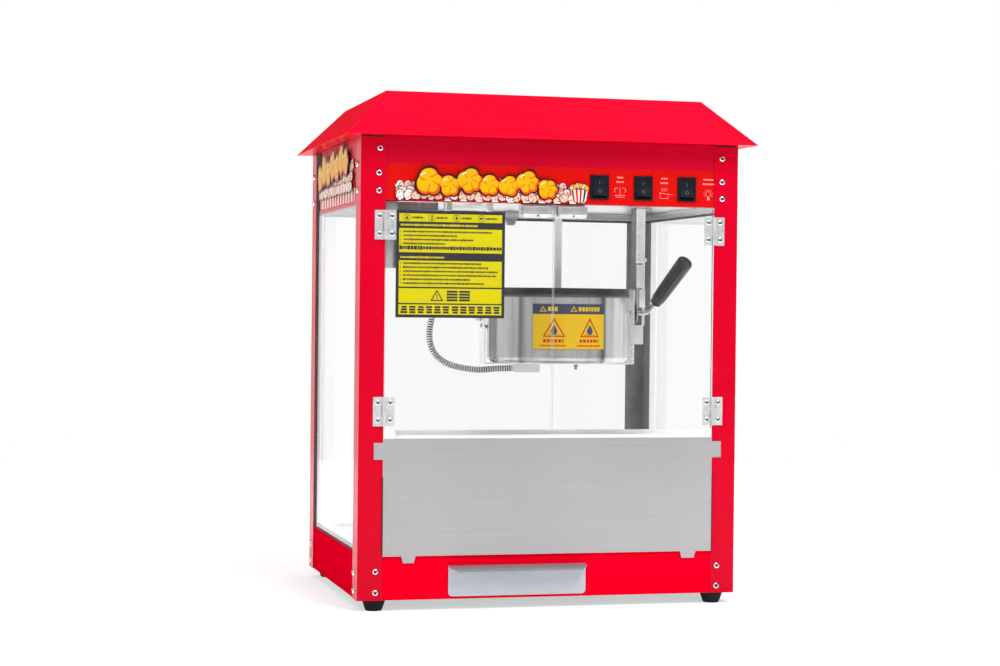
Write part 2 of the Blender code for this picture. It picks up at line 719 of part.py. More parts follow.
def rocker_outline():
    """Side view of a rocker about its pivot, with its upper half pressed in (y, z)."""
    half = 0.0120
    neutral = [
        (-0.0070, half), (-0.0052, 0), (-0.0070, -half), (-0.0010, -half),
        (0.0035, -0.0040), (0.0035, 0.0040), (-0.0010, half)]
    cos = math.cos(ROCKER_THROW / 2)
    sin = math.sin(ROCKER_THROW / 2)
    return [(y * cos + z * sin, z * cos - y * sin) for y, z in neutral]


# ---------------------------------------------------------------- kettle
def turned_on_pivot(name, profile, material, steps):
    """A closed profile of (radius, height above the ground), turned about the kettle's middle."""
    about_pivot = [(radius, height - PIVOT_HEIGHT) for radius, height in profile]
    turned(name, about_pivot, material, (KETTLE_X, 0, PIVOT_HEIGHT), steps, closed=True)


def kettle_shell():
    """Spun outer shell with a rounded lower edge."""
    r = KETTLE_RADIUS
    wall = 0.001
    low = KETTLE_BOTTOM
    bend = 0.008
    outer = [(r, KETTLE_RIM)] + arc(r - bend, low + bend, bend, 0, -90, 3) + [(0, low)]
    inner = [(0, low + wall)] + arc(r - bend, low + bend, bend - wall, -90, 0, 2) + [(r - wall, KETTLE_RIM)]
    turned_on_pivot("kettle_shell", outer + inner, STEEL, 40)


def kettle_pan():
    """Popping pan with a flange that rests on the shell's rim."""
    wall = 0.0012
    flange_low = KETTLE_RIM + GAP
    flange_high = flange_low + THIN_SHEET
    bend = 0.010
    r = PAN_RADIUS
    corner = (r - bend, PAN_BOTTOM + bend)
    profile = [(KETTLE_RADIUS, flange_high), (KETTLE_RADIUS, flange_low), (r, flange_low)]
    profile += arc(*corner, bend, 0, -90, 2) + [(0, PAN_BOTTOM), (0, PAN_BOTTOM + wall)]
    profile += arc(*corner, bend - wall, -90, 0, 2) + [(r - wall, flange_high)]
    turned_on_pivot("kettle_pan", profile, STEEL, 40)


def heater_ring():
    """Ring heater clamped under the pan."""
    top = PAN_BOTTOM - GAP
    low = top - 0.009
    outer = 0.072
    inner = 0.030
    turned_on_pivot("heater_ring", [(outer, top), (outer, low), (inner, low), (inner, top)], DARK_STEEL, 32)


def kettle_cradle():
    """Strap under the kettle; its arms carry the left pivot pin and the handle."""
    inner = ARM_OFFSET
    outer = ARM_OFFSET + 0.002
    strap_top = KETTLE_BOTTOM - GAP - PIVOT_HEIGHT
    strap_low = strap_top - 0.002
    arm_top = BRIDGE_BOTTOM - GAP - PIVOT_HEIGHT
    width = 0.030
    outline = [
        (-outer, strap_low), (outer, strap_low), (outer, arm_top), (inner, arm_top),
        (inner, strap_top), (-inner, strap_top), (-inner, arm_top), (-outer, arm_top)]
    strap = extruded_mesh((outline,), width, facing="Y")
    pin_length = HANGER_OFFSET + 0.0055 - inner
    pin = cylinder_mesh(PIVOT_PIN_RADIUS, pin_length, (-(inner + pin_length / 2), 0, 0), "X", 16)
    handle_hole = cylinder_mesh(HANDLE_RADIUS + GAP, 0.02, (inner, 0, 0), "X", 16)
    mesh = combine(strap, joined=(pin,), cut=(handle_hole,))
    add_mesh("kettle_cradle", mesh, ZINC, (KETTLE_X, 0, PIVOT_HEIGHT))


def kettle_handle():
    """Bent rod that turns the kettle; its level end is the right pivot."""
    along = (HANDLE_TIP - HANDLE_BEND).normalized()
    start = Vector((KETTLE_X + ARM_OFFSET - 0.002, 0, PIVOT_HEIGHT))
    bend_reach = 0.010
    before = HANDLE_BEND - Vector((bend_reach, 0, 0))
    after = HANDLE_BEND + along * bend_reach
    bend = []
    steps = 6
    for i in range(steps + 1):
        t = i / steps
        bend.append(before * (1 - t) ** 2 + HANDLE_BEND * 2 * t * (1 - t) + after * t ** 2)
    end = HANDLE_BEND + along * 0.075
    tube("kettle_handle", [start, *bend, end], HANDLE_RADIUS, STEEL, 3, (KETTLE_X, 0, PIVOT_HEIGHT))


def handle_grip():
    """Tapered plastic grip with a blind bore for the rod."""
    along = (HANDLE_TIP - HANDLE_BEND).normalized()
    length = 0.088
    low = 0.0080
    high = 0.0112
    bore = HANDLE_RADIUS + GAP
    depth = 0.054
    profile = [
        (0, length), (high - 0.004, length), (high - 0.0012, length - 0.0012), (high, length - 0.004),
        (low, 0.003), (low - 0.0015, 0), (bore, 0), (bore, depth), (0, depth)]
    item = turned("handle_grip", profile, GRIP, HANDLE_TIP - along * length, steps=24)
    item.rotation_mode = "QUATERNION"
    item.rotation_quaternion = along.to_track_quat("Z", "Y")


def lids():
    """Two flat-topped lid halves; each one's origin is on its hinge line beside the bridge."""
    hinge_offset = 0.0126
    skirt = 0.0075
    radius = LID_RADIUS
    start = math.degrees(math.asin(hinge_offset / radius))
    for end, turn in (("front", math.pi), ("rear", 0.0)):
        form = bmesh.new()
        rim = [
            form.verts.new((x, y - hinge_offset, 0))
            for x, y in arc(0, 0, radius, start, 180 - start, 24)]
        form.faces.new(rim)
        edges = [form.edges.get((a, b)) for a, b in zip(rim, rim[1:])]
        pulled = bmesh.ops.extrude_edge_only(form, edges=edges)["geom"]
        for part in pulled:
            if isinstance(part, bmesh.types.BMVert):
                part.co.z -= skirt
        bmesh.ops.recalc_face_normals(form, faces=form.faces)
        top_face = max(form.faces, key=lambda face: face.calc_area())
        if top_face.normal.z < 0:
            bmesh.ops.reverse_faces(form, faces=form.faces)
        mesh = bpy.data.meshes.new(f"{end}_lid")
        form.to_mesh(mesh)
        form.free()
        sign = 1 if turn == 0 else -1
        item = add_mesh(f"{end}_lid", mesh, DARK_STEEL, (KETTLE_X, sign * hinge_offset, LID_TOP))
        item.rotation_euler = (0, 0, turn)
        solidify = item.modifiers.new("sheet", "SOLIDIFY")
        solidify.thickness = THIN_SHEET
        solidify.offset = -1.0
        solidify.use_even_offset = True


def lid_bridge():
    """Flat bar across the kettle that carries the lids and the stirrer's bearing."""
    half = ARM_OFFSET + 0.002
    width = 0.0244
    outline = rectangle(-half, half, -width / 2, width / 2)
    hole = circle(0, 0, STIRRER_RADIUS + 0.0007, 16)
    thickness = 0.0018
    extrusion("lid_bridge", (outline, hole), thickness, ZINC, (KETTLE_X, 0, BRIDGE_BOTTOM + thickness / 2))


def stirrer():
    """Stirring shaft with two paddles in the pan and a driving tang at its top."""
    paddle_bottom = PAN_BOTTOM + 0.0022
    shoulder = STIRRER_TOP - 0.0035
    length = shoulder - paddle_bottom
    shaft = cylinder_mesh(STIRRER_RADIUS, length, (0, 0, paddle_bottom + length / 2), sides=16)
    tang = box_mesh((0.008, 0.003, 0.008), (0, 0, STIRRER_TOP - 0.004))
    reach = PAN_RADIUS - 0.008
    blade = 0.007
    paddle = box_mesh((2 * reach, blade, 0.005), (0, 0, paddle_bottom + 0.0026))
    scraper = box_mesh((blade, 1.3 * reach, 0.0044), (0, 0, paddle_bottom + 0.0027))
    mesh = combine(shaft, joined=(tang, paddle, scraper))
    add_mesh("stirrer", mesh, STEEL, (KETTLE_X, 0, 0))


def terminal_box():
    """Junction box under the kettle, where the conduit ends."""
    strap = 0.002
    top = KETTLE_BOTTOM - 2 * GAP - strap
    height = 0.0115
    half_depth = 0.015
    low_x, high_x = -0.004, 0.033
    box("terminal_box", (low_x, -half_depth, top - height), (high_x, half_depth, top), ZINC, 0.0015)


# ---------------------------------------------------------------- hanging gear
def hangers():
    """Two flat bars that hang the kettle from the ceiling."""
    thickness = 0.003
    top = CEILING_BOTTOM - GAP
    foot = 0.022
    bottom = PIVOT_HEIGHT - 0.013
    for side, sign in (("left", -1), ("right", 1)):
        near = sign * HANGER_OFFSET
        far = near + sign * thickness
        end = near + sign * foot
        outline = [
            (near, bottom), (far, bottom), (far, top - thickness), (end, top - thickness),
            (end, top), (near, top)]
        strip = extruded_mesh((outline,), 0.024, facing="Y")
        hole = cylinder_mesh(PIVOT_PIN_RADIUS + 0.0008, 0.02, (near, 0, PIVOT_HEIGHT), "X", 16)
        add_mesh(f"{side}_hanger", combine(strip, cut=(hole,)), ZINC, (KETTLE_X, 0, 0))


def drive_shaft():
    """Driven stub that comes through the ceiling, with its coupling cup."""
    low = STIRRER_TOP + 0.0012
    cup_top = low + 0.011
    top = CEILING_BOTTOM + 0.011
    cup = 0.0085
    shaft = 0.0050
    profile = [(0, top), (shaft, top), (shaft, cup_top), (cup, cup_top), (cup, low), (0, low)]
    turned("drive_shaft", profile, STEEL, (KETTLE_X, 0, 0), steps=16)


def gear_motor():
    """Gear motor on the ceiling, inside the header."""
    low = CEILING_BOTTOM + SHEET + GAP
    box_height = 0.026
    motor_length = 0.040
    motor_low = low + box_height - 0.002
    gearbox = box_mesh((0.072, 0.060, box_height), (0, 0, low + box_height / 2))
    motor = cylinder_mesh(0.027, motor_length, (0, 0, motor_low + motor_length / 2), sides=24)
    socket = cylinder_mesh(0.0054, 0.030, (0, 0, low - 0.004), sides=16)
    mesh = combine(gearbox, joined=(motor,), cut=(socket,))
    add_mesh("gear_motor", mesh, ZINC, (KETTLE_X, 0, 0))


def lamp():
    """Tubular lamp between the ends of its holder, under the ceiling."""
    top = CEILING_BOTTOM - GAP
    half = 0.032
    end = 0.007
    low = top - LAMP_HOLDER_DEPTH
    bar = top - 0.003
    outline = [
        (-half, low), (-half + end, low), (-half + end, bar), (half - end, bar),
        (half - end, low), (half, low), (half, top), (-half, top)]
    extrusion("lamp_holder", (outline,), LAMP_HOLDER_DEPTH, WHITE, (LAMP_X, LAMP_Y, 0), "Y")
    length = 2 * (half - end - GAP)
    mesh = cylinder_mesh(0.004, length, axis="X", sides=16)
    add_mesh("lamp_tube", mesh, LAMP, (LAMP_X, LAMP_Y, low + 0.005), smooth=True)


def conduit():
    """Flexible metal conduit from the ceiling to the box under the kettle."""
    tube("conduit", smooth_route(CONDUIT_ROUTE, 2), CONDUIT_RADIUS, ZINC, 2)


def build():
    clear_scene()
    for make in (
            base_pan, power_gland, feet, floor_deck, sifter_screen,
            posts, front_header, header_band, ceiling_plate, roof, fixed_glass,
            hinges, doors, door_catches, front_baffle, drawer_front, drawer_tray, drawer_guide,
            switches, kettle_shell, kettle_pan, heater_ring, kettle_cradle, kettle_handle, handle_grip,
            lids, lid_bridge, stirrer, terminal_box, hangers, drive_shaft, gear_motor, lamp, conduit):
        make()


build()
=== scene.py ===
"""Looks of the countertop popcorn machine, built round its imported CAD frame.

Metres, +Z up, the front faces -Y. Every piece is made in the row frame and rides on a CAD body.
"""
import math
import random

import bmesh
import bpy
from mathutils import Matrix, Vector


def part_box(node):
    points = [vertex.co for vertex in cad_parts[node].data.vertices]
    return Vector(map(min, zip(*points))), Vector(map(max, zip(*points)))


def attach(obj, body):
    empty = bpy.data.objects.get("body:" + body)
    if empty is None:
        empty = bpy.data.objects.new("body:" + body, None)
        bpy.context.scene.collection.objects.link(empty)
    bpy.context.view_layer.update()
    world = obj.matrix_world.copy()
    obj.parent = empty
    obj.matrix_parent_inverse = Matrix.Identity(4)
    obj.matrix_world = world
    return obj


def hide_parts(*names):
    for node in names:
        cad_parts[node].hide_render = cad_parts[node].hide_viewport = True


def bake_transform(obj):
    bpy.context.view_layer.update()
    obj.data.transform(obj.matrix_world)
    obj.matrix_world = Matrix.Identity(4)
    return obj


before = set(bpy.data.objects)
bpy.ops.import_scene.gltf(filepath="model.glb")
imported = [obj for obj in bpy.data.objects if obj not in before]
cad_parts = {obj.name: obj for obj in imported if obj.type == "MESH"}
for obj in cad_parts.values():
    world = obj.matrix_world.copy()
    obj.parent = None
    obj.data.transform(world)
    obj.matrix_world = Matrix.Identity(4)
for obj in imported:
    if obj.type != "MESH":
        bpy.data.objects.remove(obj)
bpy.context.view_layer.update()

# ---------------------------------------------------------------- places, nearly all from the CAD boxes
FRONT_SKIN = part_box("front_header")[0].y
POST_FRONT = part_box("front_left_post")[0].y
POST_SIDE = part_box("front_right_post")[1].x
POST_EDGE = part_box("front_right_post")[0].x
SIDE_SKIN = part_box("header_band")[1].x
GLASS_INNER_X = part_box("right_glass")[0].x
REAR_GLASS_INNER_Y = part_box("rear_glass")[0].y
DOOR_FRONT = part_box("left_door_glass")[0].y
DOOR_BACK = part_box("left_door_glass")[1].y
DOOR_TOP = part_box("left_door_glass")[1].z
HEADER_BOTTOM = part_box("front_header")[0].z
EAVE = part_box("roof")[0].z
SIDE_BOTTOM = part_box("left_glass")[0].z
SIDE_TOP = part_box("left_glass")[1].z
DECK_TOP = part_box("floor_deck")[1].z
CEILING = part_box("ceiling_plate")[0].z
KETTLE_LOW, KETTLE_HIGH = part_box("kettle_shell")
KETTLE_X = (KETTLE_LOW.x + KETTLE_HIGH.x) / 2
KETTLE_RADIUS = (KETTLE_HIGH.x - KETTLE_LOW.x) / 2
PIVOT_HEIGHT = 0.391

# ---------------------------------------------------------------- camera and studio
CAMERA_PLACE = (-0.75324, -2.87593, 0.39301)
CAMERA_YAW = 0.2491
CAMERA_PITCH = -0.0108
CAMERA_ROLL = 0.0105
CAMERA_LENS = 75.836
SENSOR = 36.0


def linear(red, green, blue):
    """An 8-bit display colour as linear light, with alpha."""
    def one(value):
        share = value / 255
        return share / 12.92 if share <= 0.04045 else ((share + 0.055) / 1.055) ** 2.4
    return (one(red), one(green), one(blue), 1.0)


def grey(level, blue=0.0):
    """A linear grey, with a little more blue where it is given."""
    return (level, level, level + blue, 1)


def make_camera():
    data = bpy.data.cameras.new("camera")
    data.lens = CAMERA_LENS
    data.sensor_width = SENSOR
    item = bpy.data.objects.new("camera", data)
    bpy.context.scene.collection.objects.link(item)
    item.matrix_world = (
        Matrix.Translation(CAMERA_PLACE) @ Matrix.Rotation(-CAMERA_YAW, 4, "Z")
        @ Matrix.Rotation(math.pi / 2 + CAMERA_PITCH, 4, "X") @ Matrix.Rotation(CAMERA_ROLL, 4, "Z"))
    bpy.context.scene.camera = item


class Tree:
    """A node tree, with short calls for the nodes that the materials use."""

    def __init__(self, owner):
        owner.use_nodes = True
        self.owner = owner
        self.tree = owner.node_tree
        self.tree.nodes.clear()
        kind = "World" if isinstance(owner, bpy.types.World) else "Material"
        self.output = self.tree.nodes.new("ShaderNodeOutput" + kind)

    def add(self, kind, inputs=None, **settings):
        made = self.tree.nodes.new("ShaderNode" + kind)
        for key, value in settings.items():
            setattr(made, key, value)
        for key, value in (inputs or {}).items():
            self.feed(made.inputs[key], value)
        return made

    def feed(self, socket, value):
        if isinstance(value, bpy.types.NodeSocket):
            self.tree.links.new(value, socket)
        else:
            socket.default_value = value

    def out(self, kind, inputs=None, **settings):
        """The first output of a new node."""
        return self.add(kind, inputs, **settings).outputs[0]

    def axis(self, space, index):
        """One axis of a texture space; for Normal, of the way that a face looks at rest."""
        return self.add("SeparateXYZ", {0: self.add("TexCoord").outputs[space]}).outputs[index]

    def noise(self, scale, detail=3.0, stretch=(1, 1, 1), harsh=0.5):
        place = self.out("Mapping", {"Vector": self.add("TexCoord").outputs["Object"], "Scale": stretch})
        return self.out("TexNoise", {"Vector": place, "Scale": scale, "Detail": detail, "Roughness": harsh})

    def math(self, how, a, b=0.0, c=0.0):
        return self.out("Math", {0: a, 1: b, 2: c}, operation=how)

    def remap(self, value, low, high, start=0.3, end=0.7):
        return self.out("MapRange", {
            "Value": value, "From Min": start, "From Max": end, "To Min": low, "To Max": high})

    def mix(self, amount, first, second):
        return self.add("Mix", {"Factor": amount, 6: first, 7: second}, data_type="RGBA").outputs[2]

    def blend_shaders(self, amount, first, second):
        return self.out("MixShader", {0: amount, 1: first, 2: second})

    def bump(self, height, distance, normal=None):
        inputs = {"Height": height, "Distance": distance, "Strength": 1.0}
        if normal is not None:
            inputs["Normal"] = normal
        return self.out("Bump", inputs)

    def show(self, shader):
        self.tree.links.new(shader, self.output.inputs["Surface"])
        return self.owner

    def principled(self, **inputs):
        """Finish a material: each input's name has _ for its spaces."""
        return self.show(self.out("BsdfPrincipled", {key.replace("_", " "): inputs[key] for key in inputs}))


def make_studio():
    """A white world that glass and metal see as a darker room, four soft lights and the floor."""
    world = bpy.data.worlds.new("studio")
    bpy.context.scene.world = world
    tree = Tree(world)
    behind = tree.remap(tree.axis("Generated", 1), 0.0, 1.0, -0.4, 0.1)
    backdrop = tree.remap(tree.axis("Generated", 2), 1.02, 0.04, 0.09, 0.15)
    level = tree.math("MULTIPLY_ADD", behind, tree.math("SUBTRACT", backdrop, 0.24), 0.24)
    path = tree.add("LightPath").outputs
    mirrored = tree.out("Background", {"Color": tree.out("CombineColor", {0: level, 1: level, 2: level})})
    ambient = tree.out("Background", {"Color": grey(0.46)})
    around = tree.blend_shaders(path["Is Diffuse Ray"], mirrored, ambient)
    tree.show(tree.blend_shaders(path["Is Camera Ray"], around, tree.out("Background", {"Color": grey(1)})))

    for name, where, target, size, power in (
            ("key", (0.75, -1.9, 2.75), (0.05, 0, 0.3), 1.5, 66),
            ("fill", (-2.4, -1.2, 1.6), (0, 0, 0.3), 1.6, 18),
            ("overhead", (0, 0.0, 2.6), (0, 0.0, 0), 3.0, 58),
            ("back", (0.8, 2.4, 2.2), (0, 0, 0.2), 1.8, 26)):
        data = bpy.data.lights.new(name, "AREA")
        data.shape = "SQUARE"
        data.size = size
        data.energy = power
        item = bpy.data.objects.new(name, data)
        item.location = where
        item.rotation_euler = (Vector(target) - Vector(where)).to_track_quat("-Z", "Y").to_euler()
        bpy.context.scene.collection.objects.link(item)

    form = bmesh.new()
    bmesh.ops.create_circle(form, cap_ends=True, segments=96, radius=2.6)
    floor = as_object("studio_floor", form, [floor_material()])
    bpy.context.scene.view_settings.view_transform = "Standard"


def as_object(name, form, materials, smooth_below=None):
    """Turn a finished bmesh into a linked object."""
    mesh = bpy.data.meshes.new(name)
    form.to_mesh(mesh)
    form.free()
    for material in materials:
        mesh.materials.append(material)
    if smooth_below:
        mesh.shade_smooth()
        mesh.set_sharp_from_angle(angle=math.radians(smooth_below))
    item = bpy.data.objects.new(name, mesh)
    bpy.context.scene.collection.objects.link(item)
    return item


# ---------------------------------------------------------------- materials
def new_tree(name):
    return Tree(bpy.data.materials.new(name))


def floor_material():
    """Pale floor; the camera sees a shallower version of it, which keeps the shadow light and neutral."""
    tree = new_tree("studio_floor")

    def lit(tint, glow):
        return tree.out("AddShader", {
            0: tree.out("BsdfDiffuse", {"Color": tint, "Roughness": 1.0}),
            1: tree.out("Emission", {"Color": glow, "Strength": 1.0})})

    deep = lit(tree.mix(tree.noise(1.5, 2), grey(0.93), grey(0.9, 0.005)), grey(0.28))
    shallow = lit((0.5, 0.48, 0.48, 1), (0.49, 0.51, 0.51, 1))
    return tree.show(tree.blend_shaders(tree.add("LightPath").outputs["Is Camera Ray"], deep, shallow))


def edge_wear_and_highlight(tree, radius):
    """A rounded normal, and how far it leans from the flat one: 0 on faces, up to 1 on edges."""
    rounded = tree.out("Bevel", {"Radius": radius}, samples=4)
    flat = tree.add("NewGeometry").outputs["Normal"]
    agree = tree.add("VectorMath", {0: rounded, 1: flat}, operation="DOT_PRODUCT").outputs["Value"]
    return rounded, tree.remap(agree, 1.0, 0.0, 0.75, 0.995)


def paint(name, deep, bright, specular, side=None, underside_shadow_grey=None):
    """Gloss powder coat: faint orange peel, cloudy depth, and lighter pink edges that are partly thinner
    paint and partly a painted highlight.

    Faces that look to the side can take a darker copy of the colour, which is painted shade, and those that
    look down a grey that keeps red from the floor shadow below them: painted shade as well."""
    tree = new_tree(name)
    rounded, worn_and_lit_edge = edge_wear_and_highlight(tree, 0.0007)
    colour = tree.mix(tree.remap(tree.noise(4, 3), 0, 1), deep, bright)
    # Faces that look to the side take a darker copy of the red: painted shade.
    if side:
        painted_side_shade = tree.math("GREATER_THAN", tree.math("ABSOLUTE", tree.axis("Normal", 0)), 0.7)
        colour = tree.mix(painted_side_shade, colour, side)
    # Faces that look down turn grey, so that the floor shadow below them stays free of red: painted shade.
    if underside_shadow_grey:
        colour = tree.mix(tree.math("LESS_THAN", tree.axis("Normal", 2), -0.7), colour, underside_shadow_grey)
    # Edges are mixed towards a pale pink: partly thinner paint, partly a painted highlight.
    colour = tree.mix(tree.math("MULTIPLY", worn_and_lit_edge, 0.16), colour, linear(255, 110, 120))
    return tree.principled(
        Base_Color=colour, Roughness=tree.remap(tree.noise(14, 3), 0.2, 0.27),
        Normal=tree.bump(tree.noise(420, 2), 0.000004, rounded), Specular_IOR_Level=specular)


def metal(name, dark, light, stretch, roughness, depth=0.00002, cloud=4.0, metallic=1.0, wear=0.0, lip=None,
          stripes=(), glow=0.0):
    """Rolled, brushed or plated metal: fine streaks over a soft mottle.

    Faces that look up or down can take a lit or shaded copy of the colour: painted light and shade. The
    kettle has dark bands at fixed angles about its axis: painted reflections."""
    tree = new_tree(name)
    streak = tree.noise(1.0, 5, stretch, 0.62)
    both = tree.math("MULTIPLY_ADD", tree.noise(cloud, 4), 0.4, tree.math("MULTIPLY", streak, 0.6))
    colour = tree.mix(tree.remap(both, 0, 1, 0.35, 0.65), dark, light)
    normal = None
    if wear:
        normal, worn_and_lit_edge = edge_wear_and_highlight(tree, 0.0005)
        colour = tree.mix(tree.math("MULTIPLY", worn_and_lit_edge, wear), colour, grey(0.95))
    # Faces that look up or down take a lit or shaded copy of the colour: painted light and shade.
    if lip:
        level = tree.math("GREATER_THAN", tree.math("ABSOLUTE", tree.axis("Normal", 2)), 0.3)
        colour = tree.mix(level, colour, lip)
    # Dark bands at fixed angles about the kettle's axis: painted reflections.
    if stripes:
        across = tree.math("SUBTRACT", tree.axis("Object", 0), KETTLE_X)
        angle = tree.math("ARCTAN2", across, tree.math("MULTIPLY", tree.axis("Object", 1), -1.0))
        for stripe in stripes:
            off = tree.math("ABSOLUTE", tree.math("SUBTRACT", angle, stripe))
            colour = tree.mix(tree.remap(off, 0.75, 0, 0.012, 0.055), colour, grey(0.1))
    # A glow, where given, lights a metal part with no lamp in it: painted light.
    return tree.principled(
        Base_Color=colour, Roughness=tree.remap(both, *roughness, 0.35, 0.65), Metallic=metallic,
        Normal=tree.bump(streak, depth, normal), Emission_Color=light, Emission_Strength=glow)


def plastic(name, dark, light, roughness, grain=1500, depth=0.00003, specular=0.5, glow=0.0):
    """Moulded plastic or rubber with a fine spark-eroded grain and paler edges."""
    tree = new_tree(name)
    rounded, worn_and_lit_edge = edge_wear_and_highlight(tree, 0.0005)
    colour = tree.mix(tree.remap(tree.noise(60, 3), 0, 1), dark, light)
    paler = tuple(min(1.0, channel * 2 + 0.02) for channel in light[:3]) + (1.0,)
    # A glow, where given, lights a plastic part with no lamp in it: painted light.
    return tree.principled(
        Base_Color=tree.mix(tree.math("MULTIPLY", worn_and_lit_edge, 0.25), colour, paler),
        Roughness=tree.remap(tree.noise(200, 3), *roughness),
        Normal=tree.bump(tree.noise(grain, 2), depth, rounded), Specular_IOR_Level=specular,
        Emission_Color=light, Emission_Strength=glow)


def pane(name, broad_axis):
    """Clear sheet glass: see-through faces that mirror more at a slant, and greenish cut edges."""
    tree = new_tree(name)
    slant = tree.add("LayerWeight", {"Blend": 0.5}).outputs["Facing"]
    mirror = tree.math("MULTIPLY_ADD", tree.math("POWER", slant, 5.0), 0.9, 0.018)
    clear = tree.out("BsdfTransparent", {"Color": (0.996, 0.998, 0.997, 1)})
    gloss = tree.out("BsdfGlossy", {"Color": grey(1), "Roughness": tree.remap(tree.noise(6, 5), 0.01, 0.05)})
    cut = tree.math("LESS_THAN", tree.math("ABSOLUTE", tree.axis("Normal", broad_axis)), 0.5)
    green = tree.mix(tree.noise(90, 3), (0.66, 0.72, 0.7, 1), (0.8, 0.85, 0.83, 1))
    ground = tree.out("BsdfPrincipled", {"Base Color": green, "Roughness": 0.25})
    dim = tree.out("BsdfTransparent", {"Color": (0.8, 0.86, 0.84, 1)})
    face, edge = tree.blend_shaders(mirror, clear, gloss), tree.blend_shaders(0.42, dim, ground)
    return tree.show(tree.blend_shaders(cut, face, edge))


def lamp_glass():
    """Frosted tube with a faint warm glow."""
    tree = new_tree("lamp_glass")
    return tree.principled(
        Base_Color=tree.mix(tree.noise(300, 3), (0.9, 0.89, 0.86, 1), (0.98, 0.97, 0.95, 1)),
        Roughness=tree.remap(tree.noise(80), 0.1, 0.22),
        Emission_Color=(1.0, 0.96, 0.88, 1), Emission_Strength=0.25)


def ink(name, colour, gloss=0.3):
    """Screen-printed film: an even colour with a little mottle and a satin surface."""
    tree = new_tree(name)
    faded = tuple(0.93 * channel + 0.002 for channel in colour[:3]) + (1.0,)
    return tree.principled(
        Base_Color=tree.mix(tree.remap(tree.noise(240, 3), 0, 1, 0.3, 0.8), colour, faded),
        Roughness=tree.remap(tree.noise(120, 2), gloss - 0.06, gloss + 0.08),
        Normal=tree.bump(tree.noise(700, 2), 0.000002), Specular_IOR_Level=0.08)


# One red powder coat in four copies of different depth; the header's deeper copy stands partly for the shade
# beneath the eave: painted shade.
ROOF_RED = paint("red_powder_coat_roof", linear(220, 0, 32), linear(228, 0, 38), 0.012)
# The base's side faces are painted darker and its downward faces grey: painted shade.
BASE_RED = paint("red_powder_coat_base", linear(226, 0, 30), linear(234, 0, 36), 0.0,
                 side=linear(209, 0, 31), underside_shadow_grey=grey(0.3))
POST_RED = paint("red_powder_coat_posts", linear(194, 0, 31), linear(202, 0, 37), 0.07)
HEADER_RED = paint("red_powder_coat_header", linear(186, 6, 38), linear(196, 8, 43), 0.03)
# The baffle's level lip is painted lighter: painted highlight.
BRUSHED = metal("brushed_plate", grey(0.385, 0.003), grey(0.465, 0.003), (5, 40, 900), (0.32, 0.42),
                0.000004, metallic=0.6, wear=0.4, lip=grey(0.74))
CEILING_STEEL = metal("ceiling_plate", grey(0.52, 0.01), grey(0.68, 0.01), (6, 700, 40), (0.28, 0.4))
DECK = metal("deck_steel", grey(0.72), grey(0.86), (6, 600, 40), (0.3, 0.45), cloud=9)
# The drawer's level faces are painted darker: painted shade.
DRAWER = metal("drawer_steel", linear(182, 190, 200), linear(196, 204, 213), (30, 30, 160), (0.42, 0.5),
               0.000003, metallic=0.35, wear=0.2, lip=linear(124, 126, 131))
POLISHED = metal("polished_steel", grey(0.6, 0.01), grey(0.76, 0.01), (7, 7, 900), (0.2, 0.28),
                 0.000002, wear=0.3)
# The kettle's dark bands are painted reflections.
KETTLE_STEEL = metal("kettle_steel", grey(0.42, 0.01), grey(0.86), (44, 44, 1.0), (0.2, 0.28),
                     0.0000005, metallic=0.55, wear=0.3, stripes=(-1.5, -0.81, 0.41))
# The shaft, stirrer, cradle, terminal box and latch glow a little with no lamp in them: painted light.
SHAFT_STEEL = metal("shaft_steel", grey(0.88), grey(0.96), (60, 60, 500), (0.2, 0.3),
                    0.000001, metallic=0.15, glow=0.1)
DARK_STEEL = metal("dark_steel", (0.045, 0.046, 0.05, 1), grey(0.1, 0.01), (30, 30, 500), (0.26, 0.4),
                   0.000003, metallic=0.75, wear=0.35)
ZINC = metal("zinc_plate", (0.52, 0.53, 0.54, 1), (0.7, 0.71, 0.72, 1), (220, 220, 160), (0.26, 0.38),
             0.000006, cloud=70, metallic=0.45, wear=0.4)
CHROME = metal("chrome", grey(0.74, 0.01), grey(0.88, 0.01), (200, 200, 200), (0.06, 0.14), 0.000004)
# The screws' dished middles and cross recesses take this dark metal: painted shade.
RECESS = metal("screw_recess", grey(0.08, 0.005), grey(0.16, 0.005), (200, 200, 200), (0.35, 0.5),
               0.000004, metallic=0.6)
CATCH_STEEL = metal("catch_plate", grey(0.36, 0.01), grey(0.48, 0.01), (120, 120, 120), (0.34, 0.46),
                    0.000006, metallic=0.6, wear=0.4)
CONDUIT = metal("conduit_steel", grey(0.86), grey(0.95), (90, 90, 90), (0.2, 0.3),
                0.000004, metallic=0.4, wear=0.3)
# The conduit's grooves take this dark metal: painted shade.
GROOVE = metal("conduit_groove", grey(0.08, 0.002), grey(0.13, 0.002), (90, 90, 90), (0.35, 0.5),
               0.000004, metallic=0.6)
FRONT_GLASS = pane("clear_glass_front", 1)
SIDE_GLASS = pane("clear_glass_side", 0)
LAMP = lamp_glass()
WHITE = plastic("white_plastic", linear(232, 232, 230), linear(246, 246, 244), (0.38, 0.5))
BLACK = plastic("black_plastic", (0.008, 0.01, 0.014, 1), (0.013, 0.016, 0.022, 1), (0.42, 0.55),
                specular=0.04)
GRIP = plastic("grip_plastic", grey(0.042, 0.002), grey(0.062, 0.002), (0.3, 0.42), 900, 0.00006)
